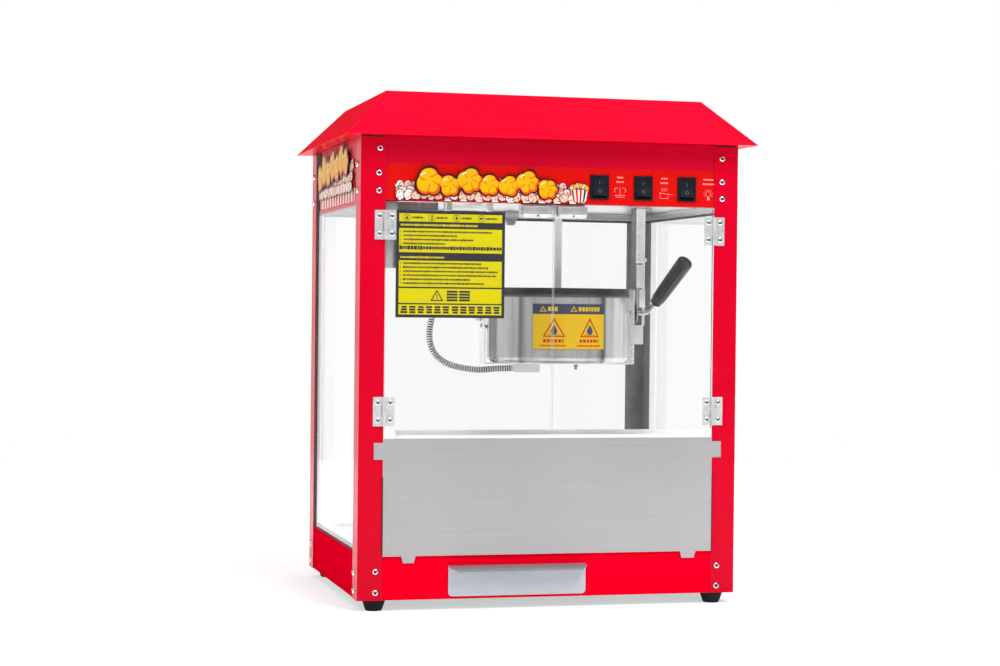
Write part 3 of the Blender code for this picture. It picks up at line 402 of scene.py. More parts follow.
# The grip's dished end is a paler copy of its plastic: painted highlight.
GRIP_END_HIGHLIGHT = plastic("grip_end_painted_highlight", grey(0.1, 0.002), grey(0.15, 0.002), (0.35, 0.5), 900, 0.00004)
RUBBER = plastic("black_rubber", (0.006, 0.007, 0.008, 1), (0.013, 0.014, 0.016, 1), (0.6, 0.8),
                 700, 0.00008, specular=0.15)
SEAL = plastic("dark_seal", (0.018, 0.014, 0.015, 1), (0.03, 0.024, 0.026, 1), (0.5, 0.68), 800, 0.00005,
               specular=0.1)
CHANNEL = plastic("grey_channel", grey(0.24, 0.002), grey(0.31, 0.002), (0.45, 0.6), 800, 0.00004)
CHANNEL_DARK = plastic("dark_channel", grey(0.07, 0.002), grey(0.1, 0.002), (0.45, 0.6), 800, 0.00004)
LINER = plastic("pale_liner", linear(196, 197, 198), linear(214, 215, 216), (0.45, 0.6), 600, 0.00003)
# The pale covers glow though they hold no lamp, and the left rear cover is a pale copy of the grey right
# one: painted light.
LILAC = plastic("pale_lilac_cover", linear(248, 244, 250), linear(253, 250, 254), (0.45, 0.6), 600, 0.00003,
                glow=0.34)

SLOT_MATERIALS = {
    "red_paint": POST_RED, "deck_steel": DECK, "drawer_steel": DRAWER,
    "polished_steel": POLISHED, "dark_steel": DARK_STEEL, "zinc_plate": ZINC, "conduit_steel": CONDUIT,
    "lamp_glass": LAMP, "white_plastic": WHITE, "black_plastic": BLACK, "grip_plastic": GRIP,
    "black_rubber": RUBBER, "brushed_plate": BRUSHED, "clear_glass": FRONT_GLASS}
NODE_MATERIALS = {
    "ceiling_plate": CEILING_STEEL, "left_glass": SIDE_GLASS, "right_glass": SIDE_GLASS,
    "roof": ROOF_RED, "base_pan": BASE_RED, "front_header": HEADER_RED, "header_band": HEADER_RED,
    "left_strike_plate": CATCH_STEEL, "right_strike_plate": CATCH_STEEL,
    "kettle_shell": KETTLE_STEEL, "stirrer": SHAFT_STEEL, "drive_shaft": SHAFT_STEEL,
    "kettle_cradle": SHAFT_STEEL, "terminal_box": SHAFT_STEEL}


def dress_nodes():
    """Give every CAD node the material of its slot."""
    for name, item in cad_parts.items():
        slot = item.data.materials[0].name
        item.data.materials[0] = NODE_MATERIALS.get(name, SLOT_MATERIALS[slot])


# ---------------------------------------------------------------- shapes
def smooth_route(points, per_span):
    """Points along a Catmull-Rom curve through a route's own points."""
    ends = [2 * Vector(points[0]) - Vector(points[1]), 2 * Vector(points[-1]) - Vector(points[-2])]
    knots = [ends[0]] + [Vector(p) for p in points] + [ends[1]]
    route = []
    for i in range(1, len(knots) - 2):
        before, start, end, after = knots[i - 1:i + 3]
        for step in range(per_span):
            t = step / per_span
            pull = (end - before) * t + (2 * before - 5 * start + 4 * end - after) * t ** 2
            pull += (3 * start - before - 3 * end + after) * t ** 3
            route.append(start + pull / 2)
    route.append(Vector(points[-1]))
    return route


def even_route(route, pitch):
    """The same route with points a set distance apart."""
    lengths = [0.0]
    for a, b in zip(route, route[1:]):
        lengths.append(lengths[-1] + (b - a).length)
    count = round(lengths[-1] / pitch)
    spaced = []
    span = 0
    for i in range(count + 1):
        along = lengths[-1] * i / count
        while span < len(route) - 2 and lengths[span + 1] < along:
            span += 1
        share = (along - lengths[span]) / (lengths[span + 1] - lengths[span])
        spaced.append(route[span].lerp(route[span + 1], share))
    return spaced


def circle(sides, radius=1.0):
    """Points (x, y) round a circle about the origin."""
    turns = (2 * math.pi * k / sides for k in range(sides))
    return [(radius * math.cos(turn), radius * math.sin(turn)) for turn in turns]


def ring(form, points, place=Matrix()):
    """New vertices at some points, once these are put in their place."""
    return [form.verts.new(place @ Vector(point)) for point in points]


def stitch(form, rings, span_material=lambda span: 0, caps=(0, 0)):
    """Join rings of vertices, each whole or a single point; caps gives the end faces' materials, if any."""
    for span, (low, high) in enumerate(zip(rings, rings[1:])):
        for k in range(max(len(low), len(high))):
            a, b = low[(k - 1) % len(low)], low[k % len(low)]
            c, d = high[k % len(high)], high[(k - 1) % len(high)]
            form.faces.new(list(dict.fromkeys((a, b, c, d)))).material_index = span_material(span)
    for cap, material in zip((rings[0][::-1], rings[-1]), caps):
        if len(cap) > 1:
            form.faces.new(cap).material_index = material


def sweep(form, route, radii, sides, groove_every=0):
    """A round tube along a route, with a radius for each of its points; grooves take the second material."""
    across = (route[1] - route[0]).orthogonal()
    rings = []
    for i, (centre, radius) in enumerate(zip(route, radii)):
        ahead = (route[min(i + 1, len(route) - 1)] - route[max(i - 1, 0)]).normalized()
        across = (across - ahead * across.dot(ahead)).normalized()
        other = ahead.cross(across)
        rings.append(ring(form, [centre + x * across + y * other for x, y in circle(sides, radius)]))
    stitch(form, rings, lambda span: int(groove_every > 0 and span % groove_every in (0, groove_every - 1)))


def lathe(form, profile, place, sides=24, closed=False):
    """A shape turned from (radius, height) pairs: solid, or a ring if they go round a closed section."""
    rings = []
    for radius, height in profile:
        spots = circle(sides, radius) if radius else [(0, 0)]
        rings.append(ring(form, [(x, y, height) for x, y in spots], place))
    if closed:
        stitch(form, rings + rings[:1], caps=())
    else:
        stitch(form, rings)


def facing(where, normal):
    """A place whose local +Z points along normal."""
    return Matrix.Translation(where) @ Vector(normal).to_track_quat("Z", "Y").to_matrix().to_4x4()


def bevelled_box(form, low, high, radius=0.0006, segments=2):
    low, high = Vector(low), Vector(high)
    place = Matrix.Translation((low + high) / 2) @ Matrix.Diagonal((*(high - low), 1))
    made = bmesh.ops.create_cube(form, size=1.0, matrix=place)
    edges = list({edge for vert in made["verts"] for edge in vert.link_edges})
    bmesh.ops.bevel(form, geom=edges, offset=radius, segments=segments, affect="EDGES", profile=0.5)


def side_box(form, sign, low, high, radius=0.0003):
    """A thin strip given for the right side, or its mirror image where sign is -1."""
    near, far = sorted((sign * low[0], sign * high[0]))
    bevelled_box(form, (near, *low[1:]), (far, *high[1:]), radius, 1)


def add_piece(name, body, form, materials, smooth_below=35):
    """Finish a piece: outward faces, its materials, and the body that it rides on."""
    bmesh.ops.recalc_face_normals(form, faces=form.faces)
    item = as_object(name, form, materials, smooth_below)
    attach(item, body)
    return item


def box_piece(name, body, slot, material, *boxes):
    """A piece made of bevelled boxes, each given as bevelled_box takes it."""
    form = bmesh.new()
    for box in boxes:
        bevelled_box(form, *box)
    add_piece(name, body, form, [material])


# ---------------------------------------------------------------- conduit
CONDUIT_RADIUS = 0.0048
CONDUIT_ROUTE = (
    (-0.1, 0.0, 0.5406), (-0.101, 0.0, 0.515), (-0.106, 0.0, 0.47), (-0.113, 0.0, 0.425),
    (-0.119, 0.0, 0.388), (-0.1235, 0.0, 0.36), (-0.119, 0.0, 0.3365), (-0.103, 0.0, 0.3205),
    (-0.081, 0.0, 0.3128), (-0.054, 0.0, 0.3092), (-0.028, 0.0, 0.3106), (-0.0043, 0.0, 0.3116))


def make_conduit():
    """Corrugated metal conduit between the ceiling and the kettle's terminal box; its grooves are painted
    dark, which is painted shade.
    """
    rib_pitch = 0.0034
    steps = 4
    route = even_route(smooth_route(CONDUIT_ROUTE, 8), rib_pitch / steps)
    radii = [CONDUIT_RADIUS - (0.0011, 0.0002, 0.0, 0.0002)[i % steps] for i in range(len(route))]
    form = bmesh.new()
    sweep(form, route, radii, 14, groove_every=steps)
    item = as_object("corrugated_conduit", form, [CONDUIT, GROOVE], 60)
    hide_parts("conduit")
    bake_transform(item)


# ---------------------------------------------------------------- screws
def screw_head(form, where, normal, radius, height, turn=0.4):
    """Pan head with a cross recess; its dished middle takes the second material, a dark one that is painted
    shade.
    """
    place = facing(where, normal) @ Matrix.Rotation(turn, 4, "Z")
    sides = 32
    dish = 0.54
    levels = (
        (1.0, 0.0), (1.0, 0.3), (0.93, 0.62), (0.74, 0.92), (0.62, 1.0), (dish, 0.86),
        (0.44, 0.8), (0.26, 0.8), (0.1, 0.8))
    rings = []
    for share, lift in levels:
        spots = []
        for k, (x, y) in enumerate(circle(sides, radius * share)):
            arm = abs((2 * math.pi * k / sides + math.pi / 4) % (math.pi / 2) - math.pi / 4)
            sunk = share < 0.5 and arm * share < 0.115
            spots.append((x, y, height * (lift - (0.5 if sunk else 0.0))))
        rings.append(ring(form, spots, place))
    # The dish and its cross take the dark material: painted shade.
    stitch(form, rings, lambda span: int(levels[span][0] <= dish), caps=(0, 1))


FRONT_SCREWS = (
    (-0.2333, 0.6015), (-0.2344, 0.5695), (-0.2342, 0.5464), (-0.2345, 0.0521), (-0.2345, 0.0248),
    (0.2357, 0.6002), (0.236, 0.5687), (0.2363, 0.546), (0.2341, 0.0513), (0.2339, 0.0243))
SIDE_SCREWS = ((-0.171, 0.5815), (0.1805, 0.5841), (-0.1705, 0.0489), (-0.1705, 0.0254),
               (0.1785, 0.0489), (0.1785, 0.0254), (-0.171, 0.547), (0.1805, 0.547))


def make_screws():
    rng = random.Random(4)
    groups = {"front": [], "left": [], "right": [], "rear": []}
    for x, z in FRONT_SCREWS:
        groups["front"].append(((x, POST_FRONT, z), (0, -1, 0)))
        groups["rear"].append(((x, -POST_FRONT, z), (0, 1, 0)))
    for y, z in SIDE_SCREWS:
        groups["left"].append(((-POST_SIDE, y, z), (-1, 0, 0)))
        groups["right"].append(((POST_SIDE, y, z), (1, 0, 0)))
    for group, spots in groups.items():
        form = bmesh.new()
        for where, normal in spots:
            screw_head(form, where, normal, 0.0041, 0.0022, rng.uniform(0, 1.5))
        add_piece(f"{group}_post_screws", "cabinet", form, [CHROME, RECESS], 50)
    for side, sign in (("left", -1), ("right", 1)):
        leaf_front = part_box(f"{side}_lower_hinge_door_leaf")[1].y - 0.001
        for kind, x, body in (("frame", 0.2335, "cabinet"), ("door", 0.2172, f"{side}_door")):
            form = bmesh.new()
            for level in ("lower", "upper"):
                low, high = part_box(f"{side}_{level}_hinge_{kind}_leaf")
                middle = (low.z + high.z) / 2
                for step in (-0.0115, 0.0115):
                    where = (sign * x, leaf_front, middle + step)
                    screw_head(form, where, (0, -1, 0), 0.0034, 0.001, rng.uniform(0, 1.5))
            add_piece(f"{side}_hinge_{kind}_screws", body, form, [CHROME, RECESS], 50)


# ---------------------------------------------------------------- prints and labels
STAND_OFF = 0.00001
FILM = 0.0001
LAYER = 0.000012
INK = 0.00003


class Relief:
    """Thin closed shapes laid on one surface: u and v run along it and w stands off it."""

    def __init__(self, plate=FILM):
        self.form = bmesh.new()
        self.materials = []
        self.plate = plate
        self.level = plate

    def shape(self, outline, low, high, material):
        if material not in self.materials:
            self.materials.append(material)
        index = self.materials.index(material)
        area = sum(a[0] * b[1] - b[0] * a[1] for a, b in zip(outline, outline[1:] + outline[:1]))
        if area < 0:
            outline = outline[::-1]
        rings = [ring(self.form, [(u, v, w) for u, v in outline]) for w in (low, high)]
        stitch(self.form, rings, lambda span: index, (index, index))

    def base(self, outline, material):
        """The film or plate that carries the print."""
        self.shape(outline, STAND_OFF, self.plate, material)

    def put(self, outline, material):
        """Print a shape a hair above the one before."""
        self.shape(outline, self.level, self.level + LAYER, material)
        self.level += LAYER

    def lay(self, outline, layer, material):
        """Print a shape in one of the even layers over the plate, from 1 up."""
        self.shape(outline, self.plate + (layer - 1) * INK, self.plate + layer * INK, material)

    def slice_across(self, low, high, step):
        """Cut every shape at even steps of u, so that it can bend round a curve."""
        for i in range(1, round((high - low) / step)):
            geometry = [*self.form.verts, *self.form.edges, *self.form.faces]
            place = (low + i * step, 0, 0)
            bmesh.ops.bisect_plane(self.form, geom=geometry, plane_co=place, plane_no=(1, 0, 0))

    def finish(self, name, body, mapping):
        for vert in self.form.verts:
            vert.co = mapping(*vert.co)
        item = as_object(name, self.form, self.materials)
        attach(item, body)


def on_front(surface):
    return lambda u, v, w: Vector((u, surface - w, v))


def on_side(sign, surface):
    return lambda u, v, w: Vector((sign * (surface + w), sign * u, v))


def arc(u, v, radius, start, end, steps=10):
    """Points along a circular arc, from one angle to another in degrees."""
    turns = [math.radians(start + (end - start) * k / steps) for k in range(steps + 1)]
    return [(u + radius * math.cos(turn), v + radius * math.sin(turn)) for turn in turns]


def triangle(u, low, peak, reach):
    """A level-footed triangle, reach wide to each side of u."""
    return [(u - reach, low), (u + reach, low), (u, peak)]


def rect(low_u, low_v, high_u, high_v, corner=0.0):
    if not corner:
        return [(low_u, low_v), (high_u, low_v), (high_u, high_v), (low_u, high_v)]
    points = []
    for cu, cv, start in ((high_u - corner, low_v + corner, -90), (high_u - corner, high_v - corner, 0),
                          (low_u + corner, high_v - corner, 90), (low_u + corner, low_v + corner, 180)):
        points += arc(cu, cv, corner, start, start + 90, 3)
    return points


def puff(u, v, size, lobes, turn, depth=0.22, squash=0.8, sides=36):
    """Outline of a popped kernel: a ring of uneven lobes with creases between, flattened and turned."""
    points = []
    cos, sin = math.cos(turn), math.sin(turn)
    for k in range(sides):
        angle = 2 * math.pi * k / sides
        uneven = angle + 0.45 * math.sin(angle + 2.3 * turn)
        reach = size * (1 - depth + depth * abs(math.cos(lobes * uneven / 2)) ** 0.7)
        x, y = reach * math.cos(angle), squash * reach * math.sin(angle)
        points.append((u + x * cos - y * sin, v + x * sin + y * cos))
    return points


def crease(u, v, size, angle, bend=0.5, steps=5):
    """A short curl from one of a kernel's notches in towards its heart."""
    points = []
    for k in range(steps + 1):
        t = k / steps
        reach = size * (0.8 - 0.52 * t)
        turned = angle + bend * t * t
        points.append((u + reach * math.cos(turned), v + 0.88 * reach * math.sin(turned)))
    return points


def stroke(points, width):
    """A flat line of even width through some points."""
    left, right = [], []
    for i, (u, v) in enumerate(points):
        before = points[max(i - 1, 0)]
        after = points[min(i + 1, len(points) - 1)]
        du, dv = after[0] - before[0], after[1] - before[1]
        length = math.hypot(du, dv)
        nu, nv = -dv / length * width / 2, du / length * width / 2
        left.append((u + nu, v + nv))
        right.append((u - nu, v - nv))
    return left + right[::-1]


def hoop(u, v, radius, width):
    """A round line, all the way round."""
    return stroke(arc(u, v, radius, 0, 360, 24), width)[:-1]


PRINT_RED = ink("print_red", linear(203, 10, 7))
PRINT_DEEP = ink("print_deep_red", linear(190, 14, 34))
PRINT_BROWN = ink("print_brown", linear(74, 16, 22))
PRINT_CREAM = ink("print_cream", linear(218, 182, 164))
PRINT_WHITE = ink("print_white", linear(232, 214, 204))
PRINT_ICON = ink("print_icon", linear(232, 150, 138))
PRINT_ORANGE = ink("print_orange", linear(226, 84, 18))
PRINT_YELLOW = ink("print_yellow", linear(212, 166, 14))
PRINT_NAVY = ink("print_navy", linear(44, 26, 66))
MARK_GREY = ink("mark_grey", linear(96, 104, 112))
LABEL_YELLOW = ink("label_yellow", linear(196, 184, 16), 0.36)
LABEL_DARK = ink("label_dark", linear(52, 52, 56), 0.36)
LABEL_AMBER = ink("label_amber", linear(226, 184, 40), 0.36)
LABEL_SLATE = ink("label_slate", linear(72, 78, 98), 0.36)
LABEL_RED = ink("label_red", linear(196, 60, 30), 0.36)


def kernel(art, u, v, size, rng):
    """One popped kernel: brown line, cream puff, two curled creases and a little orange heart."""
    turn = rng.uniform(0, math.pi)
    lobes = rng.choice((3, 4, 5))
    art.put(puff(u, v, size, lobes, turn), PRINT_BROWN)
    art.put(puff(u, v, size * 0.86, lobes, turn), PRINT_CREAM if rng.random() < 0.6 else PRINT_WHITE)
    curl = rng.uniform(0, 2 * math.pi)
    for k in range(2):
        line = crease(u, v, size * 0.9, curl + 2.4 * k, 0.9)
        art.put(stroke(line, size * 0.1), PRINT_ORANGE if k else PRINT_BROWN)
    if rng.random() < 0.7:
        heart = rng.uniform(0.16, 0.26) * size
        place_u, place_v = u + rng.uniform(-0.3, 0.3) * size, v + rng.uniform(-0.25, 0.25) * size
        art.put(puff(place_u, place_v, heart, 3, -turn), PRINT_ORANGE)


def heap(art, low_u, high_u, floor_v, top, size, rng):
    """Rows of kernels between a level line and a top edge, whose height top(share) gives."""
    rows = 3
    columns = round((high_u - low_u) / (size * 1.3))
    for row in reversed(range(rows)):
        for column in range(columns):
            share = (column + (0.25 if row % 2 else 0.75)) / columns
            u = low_u + (high_u - low_u) * share + rng.uniform(-0.15, 0.15) * size
            u = min(max(u, low_u + size), high_u - size)
            low_v, high_v = floor_v + 0.8 * size, top(share) - 0.8 * size
            v = low_v + max(high_v - low_v, 0.0) * row / (rows - 1) + rng.uniform(-0.12, 0.12) * size
            kernel(art, u, max(v, low_v), size * rng.uniform(0.88, 1.06), rng)


def banner(art, blooms, rng):
    """Big yellow popped kernels in one mass: a common dark line, an orange shadow and creased notches."""
    turns = [rng.uniform(0, 1.2) for _ in blooms]
    lobes = [rng.choice((4, 5)) for _ in blooms]
    kinds = list(zip(blooms, turns, lobes))

    def film(bloom, turn, count, right, up, share, depth, material):
        u, v, size = bloom
        outline = puff(u + right * size, v + up * size, size * share, count, turn, depth, 0.95, 48)
        art.put(outline, material)

    for kind in kinds:
        film(*kind, 0.03, -0.03, 1.14, 0.22, PRINT_BROWN)
    for kind in kinds:
        film(*kind, 0.05, -0.06, 0.97, 0.24, PRINT_ORANGE)
        film(*kind, -0.03, 0.04, 0.88, 0.24, PRINT_YELLOW)
        (u, v, size), turn, count = kind
        u, v = u - 0.03 * size, v + 0.04 * size
        for k in range(count):
            notch = (2 * k + 1) * math.pi / count
            notch -= 0.45 * math.sin(notch - 0.45 * math.sin(notch + 2.3 * turn) + 2.3 * turn)
            reach = (1.0, 0.82, 0.92)[k % 3] * size
            art.put(stroke(crease(u, v, reach, notch + turn, 0.35), size * 0.075), PRINT_ORANGE)
        angles = (1.9 + 0.16 * i for i in range(5))
        shine = [(u + 0.62 * size * math.cos(a), v + 0.56 * size * math.sin(a)) for a in angles]
        art.put(stroke(shine, size * 0.085), PRINT_WHITE)


def cup(art, u, low_v, high_v, foot, top):
    """A striped paper cup, heaped with corn."""
    rim_v = low_v + 0.7 * (high_v - low_v)
    art.put([(u - foot, low_v), (u + foot, low_v), (u + top, rim_v), (u - top, rim_v)], PRINT_WHITE)
    for i in range(4):
        a, b = (i + 0.1) / 4, (i + 0.58) / 4
        material = PRINT_NAVY if i == 3 else PRINT_RED
        art.put([(u - foot + 2 * foot * a, low_v), (u - foot + 2 * foot * b, low_v),
                 (u - top + 2 * top * b, rim_v), (u - top + 2 * top * a, rim_v)], material)
    for i in range(6):
        at_u = u - 0.85 * top + 0.34 * top * i
        at_v = rim_v + 0.0022 + 0.0034 * math.sin(math.pi * i / 5)
        art.put(puff(at_u, at_v, 0.0042, 4, i), PRINT_BROWN)
        art.put(puff(at_u, at_v, 0.0035, 4, i), PRINT_YELLOW if i % 2 else PRINT_CREAM)


def make_front_art():
    """Film over the front header, left open round the switches, with a heap, big kernels and a cup on it."""
    rng = random.Random(11)
    art = Relief()
    edge, film_top = 0.2246, 0.5835
    opening_inset = 0.0022
    foot = HEADER_BOTTOM + 0.0004
    start = -edge
    for index in (1, 2, 3):
        low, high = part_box(f"switch_{index}_housing")
        left, right = low.x + opening_inset, high.x - opening_inset
        art.base(rect(start, foot, left, film_top), PRINT_RED)
        art.base(rect(left, foot, right, low.z + opening_inset), PRINT_RED)
        art.base(rect(left, high.z - opening_inset, right, film_top), PRINT_RED)
        start = right
    art.base(rect(start, foot, edge, film_top), PRINT_RED)
    art.put(rect(-edge, film_top - 0.0012, edge, film_top - 0.0003), PRINT_DEEP)
    heap(art, -0.215, 0.048, 0.535, lambda share: 0.559 + 0.006 * math.sin(math.pi * share), 0.0082, rng)
    for i in range(9):
        u = -0.148 + 0.0212 * i
        art.put(rect(u, HEADER_BOTTOM + 0.0005, u + 0.0085, HEADER_BOTTOM + 0.0022), PRINT_WHITE)
    blooms = (
        (-0.169, 0.56, 0.0192), (-0.1415, 0.555, 0.015), (-0.115, 0.5625, 0.0178),
        (-0.088, 0.557, 0.0148), (-0.062, 0.5565, 0.0148), (-0.037, 0.562, 0.0165),
        (-0.0095, 0.5535, 0.0145))
    banner(art, blooms, rng)
    cup(art, 0.0347, 0.5375, 0.5605, 0.0085, 0.0118)
    art.finish("front_header_print", "cabinet", on_front(FRONT_SKIN))


def make_side_art():
    """One print for both side headers: a striped band, a heap and big kernels."""
    low_u, high_u = -0.13, 0.142
    film_top = 0.6115
    stripe_low, stripe_high = 0.5345, 0.553
    stripes = 13
    pitch = (high_u - low_u) / stripes
    for name, sign in (("left", -1), ("right", 1)):
        rng = random.Random(21)
        art = Relief()
        art.base(rect(low_u, stripe_low - 0.0006, high_u, film_top), PRINT_DEEP)
        art.put(rect(low_u, stripe_low, high_u, stripe_high), PRINT_WHITE)
        for i in range(stripes):
            start = low_u + (i + 0.25) * pitch
            art.put(rect(start, stripe_low + 0.0002, start + 0.5 * pitch, stripe_high - 0.0002), PRINT_DEEP)
        heap(art, low_u, high_u, 0.547, lambda share: 0.566 + 0.026 * share ** 2, 0.0095, rng)
        blooms = []
        for i in range(7):
            lift, size = (0.004, 0.0225) if i % 2 else (-0.003, 0.02)
            blooms.append((-0.112 + 0.0345 * i, 0.582 + 0.0016 * i + lift, size))
        banner(art, blooms, rng)
        art.finish(f"{name}_header_print", "cabinet", on_side(sign, SIDE_SKIN))


def make_switch_marks():
    """Plain bars, and pictures of a stirring paddle, a hot pan and a lamp, beside the switches."""
    relief = Relief()
    base = FILM + STAND_OFF
    line = 0.0006
    gap = 0.0009
    bar_height = 0.0021

    def put(outline):
        relief.shape(outline, base, base + LAYER, PRINT_ICON)

    def draw(*points):
        put(stroke(points, line))

    def bars(u, v, count, width):
        start = u - (count * width + gap * (count - 1)) / 2
        for i in range(count):
            at = start + i * (width + gap)
            put(rect(at, v, at + width, v + bar_height))

    stirrer_u, pan_u, lamp_u = centres = (0.0925, 0.1545, 0.217)
    for u, upper, lower in zip(centres, (3, 3, 5), (4, 4, 6)):
        bars(u, 0.5705, upper, 0.0021)
        bars(u, 0.5645, lower, 0.0019)
    u = stirrer_u
    draw((u, 0.5588), (u, 0.549))
    draw(*arc(u - 0.0048, 0.5545, 0.003, 60, 250))
    draw(*arc(u + 0.0048, 0.5545, 0.003, 120, -70))
    draw((u - 0.0075, 0.5478), (u + 0.0075, 0.5478))
    draw((u - 0.0062, 0.5455), (u + 0.0062, 0.5455))
    u = pan_u
    draw((u - 0.006, 0.552), (u - 0.0052, 0.545), (u + 0.0052, 0.545), (u + 0.006, 0.552))
    draw((u - 0.007, 0.5524), (u + 0.0118, 0.55))
    for at in (u - 0.003, u, u + 0.003):
        draw((at, 0.5545), (at - 0.001, 0.556), (at + 0.001, 0.5578), (at, 0.5592))
    u = lamp_u
    draw(*arc(u, 0.5525, 0.0034, -60, 240, 14))
    put(rect(u - 0.0017, 0.544, u + 0.0017, 0.5488))
    for near, far in zip(arc(u, 0.5525, 0.0049, -30, 210, 6), arc(u, 0.5525, 0.0068, -30, 210, 6)):
        draw(near, far)
    relief.finish("switch_symbols", "cabinet", on_front(FRONT_SKIN))


def make_rocker_marks():
    """A bar and a ring moulded into each rocker's faces, as on any mains switch."""
    throw = math.radians(16)
    cos, sin = math.cos(throw / 2), math.sin(throw / 2)
    thick = 0.00012
    for index in (1, 2, 3):
        low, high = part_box(f"switch_{index}_rocker")
        pivot = Vector(((low.x + high.x) / 2, -0.1883, 0.5578))
        relief = Relief()
        relief.shape(rect(-0.0004, 0.0035, 0.0004, 0.0072), 0.0, thick, MARK_GREY)
        relief.shape(hoop(0, -0.0056, 0.0021, 0.0005), 0.0, thick, MARK_GREY)

        def tilt(u, v, w, pivot=pivot):
            depth = -0.0052 - 0.0018 * abs(v) / 0.012 - w
            return Vector((pivot.x + u, pivot.y + depth * cos + v * sin, pivot.z + v * cos - depth * sin))
        relief.finish(f"switch_{index}_marks", f"rocker_{index}", tilt)


def dashes(relief, rng, v, start, end, height, layer, material, gap, long, over, uneven=0.0):
    """A row of dashes of random lengths, and of uneven heights, in the place of a line of print."""
    at = start
    while at < end:
        dash = rng.uniform(*long)
        cut = rng.uniform(0, uneven) * height * 0.5 if uneven else 0.0
        half = height / 2 - cut
        relief.lay(rect(at, v - half, min(at + dash, end + over), v + half), layer, material)
        at += dash + gap


def make_door_placard():
    """Yellow and dark placard on the left door: rules, dashes and a plain triangle, with no lettering."""
    rng = random.Random(8)
    relief = Relief(0.0002)
    low_u, high_u, low_v, high_v = -0.2113, -0.0655, 0.3824, 0.5219
    border = 0.004
    left, right = low_u + border, high_u - border
    width, span = right - left, high_v - low_v
    row_pitch = 0.0052
    relief.base(rect(low_u, low_v, high_u, high_v, 0.0012), LABEL_DARK)

    def dark(outline):
        relief.lay(outline, 2, LABEL_DARK)

    def panel(top, bottom):
        """A yellow field between two heights, given as shares of the placard; its own top and middle."""
        top, bottom = high_v - span * top, high_v - span * bottom
        relief.lay(rect(left, bottom, right, top), 1, LABEL_YELLOW)
        return top, (top + bottom) / 2

    def words(v, height, start, end, gap=0.0007, long=(0.0012, 0.003), on_dark=False):
        layer, material = (1, LABEL_YELLOW) if on_dark else (2, LABEL_DARK)
        dashes(relief, rng, v, start, end, height, layer, material, gap, long, over=0.001, uneven=0.35)

    def paragraph(v, shares):
        """Lines of several lengths, each with a mark before it."""
        for share in shares:
            dark(rect(left + 0.0018, v - 0.001, left + 0.0026, v + 0.001))
            words(v, 0.0027, left + 0.0055, left + share * width, 0.0005)
            v -= row_pitch

    middle = panel(0.03, 0.105)[1]
    for i in range(4):
        u = left + width * (0.075 + 0.24 * i)
        dark(hoop(u, middle, 0.0042, 0.0007))
        dark((
            triangle(u, middle - 0.0022, middle + 0.0026, 0.0024),
            rect(u - 0.0009, middle - 0.0026, u + 0.0009, middle + 0.0026),
            [(u - 0.002, middle), (u, middle - 0.0028), (u + 0.002, middle), (u, middle + 0.0028)],
            rect(u - 0.0022, middle - 0.0012, u + 0.0022, middle + 0.0012))[i])
        words(middle, 0.0031, u + 0.0062, u + 0.0205, 0.0005, (0.0014, 0.0024))
    words(high_v - span * 0.137, 0.003, left + 0.002, left + 0.76 * width, on_dark=True)
    paragraph(panel(0.168, 0.392)[0] - 0.0042, (0.9, 0.56, 0.72, 0.44))
    words(high_v - span * 0.349, 0.0054, left + 0.0005, right - 0.001, 0.0006, (0.0022, 0.0044))
    words(high_v - span * 0.438, 0.003, left + 0.002, left + 0.43 * width, on_dark=True)
    paragraph(panel(0.468, 0.712)[0] - 0.0036, (0.8, 0.86, 0.96, 0.94, 0.68, 0.82))
    u, v = left + 0.37 * width, panel(0.727, 0.865)[1]
    dark(triangle(u, v - 0.0068, v + 0.008, 0.0088))
    relief.lay(triangle(u, v - 0.0053, v + 0.0052, 0.0062), 3, LABEL_YELLOW)
    relief.lay(rect(u - 0.0006, v - 0.0024, u + 0.0006, v + 0.0022), 4, LABEL_DARK)
    relief.lay(arc(u, v - 0.004, 0.0008, 0, 360, 12)[:-1], 4, LABEL_DARK)
    for share in (0.465, 0.585):
        start = left + share * width
        for row in range(4):
            low = v - 0.0068 + row * 0.0037
            dark(rect(start, low, start + 0.0145, low + 0.0027))
    v = panel(0.878, 0.972)[1]
    for k in range(12):
        start = left + 0.0026 + k * (width - 0.004) / 12 + (0.0014 if k > 5 else 0)
        for row in range(3):
            inset = rng.uniform(0, 0.0016)
            low = v - 0.0048 + row * 0.0034
            dark(rect(start + inset, low, start + 0.009 - inset / 2, low + 0.0026))
    relief.finish("door_placard", "left_door", on_front(DOOR_FRONT))


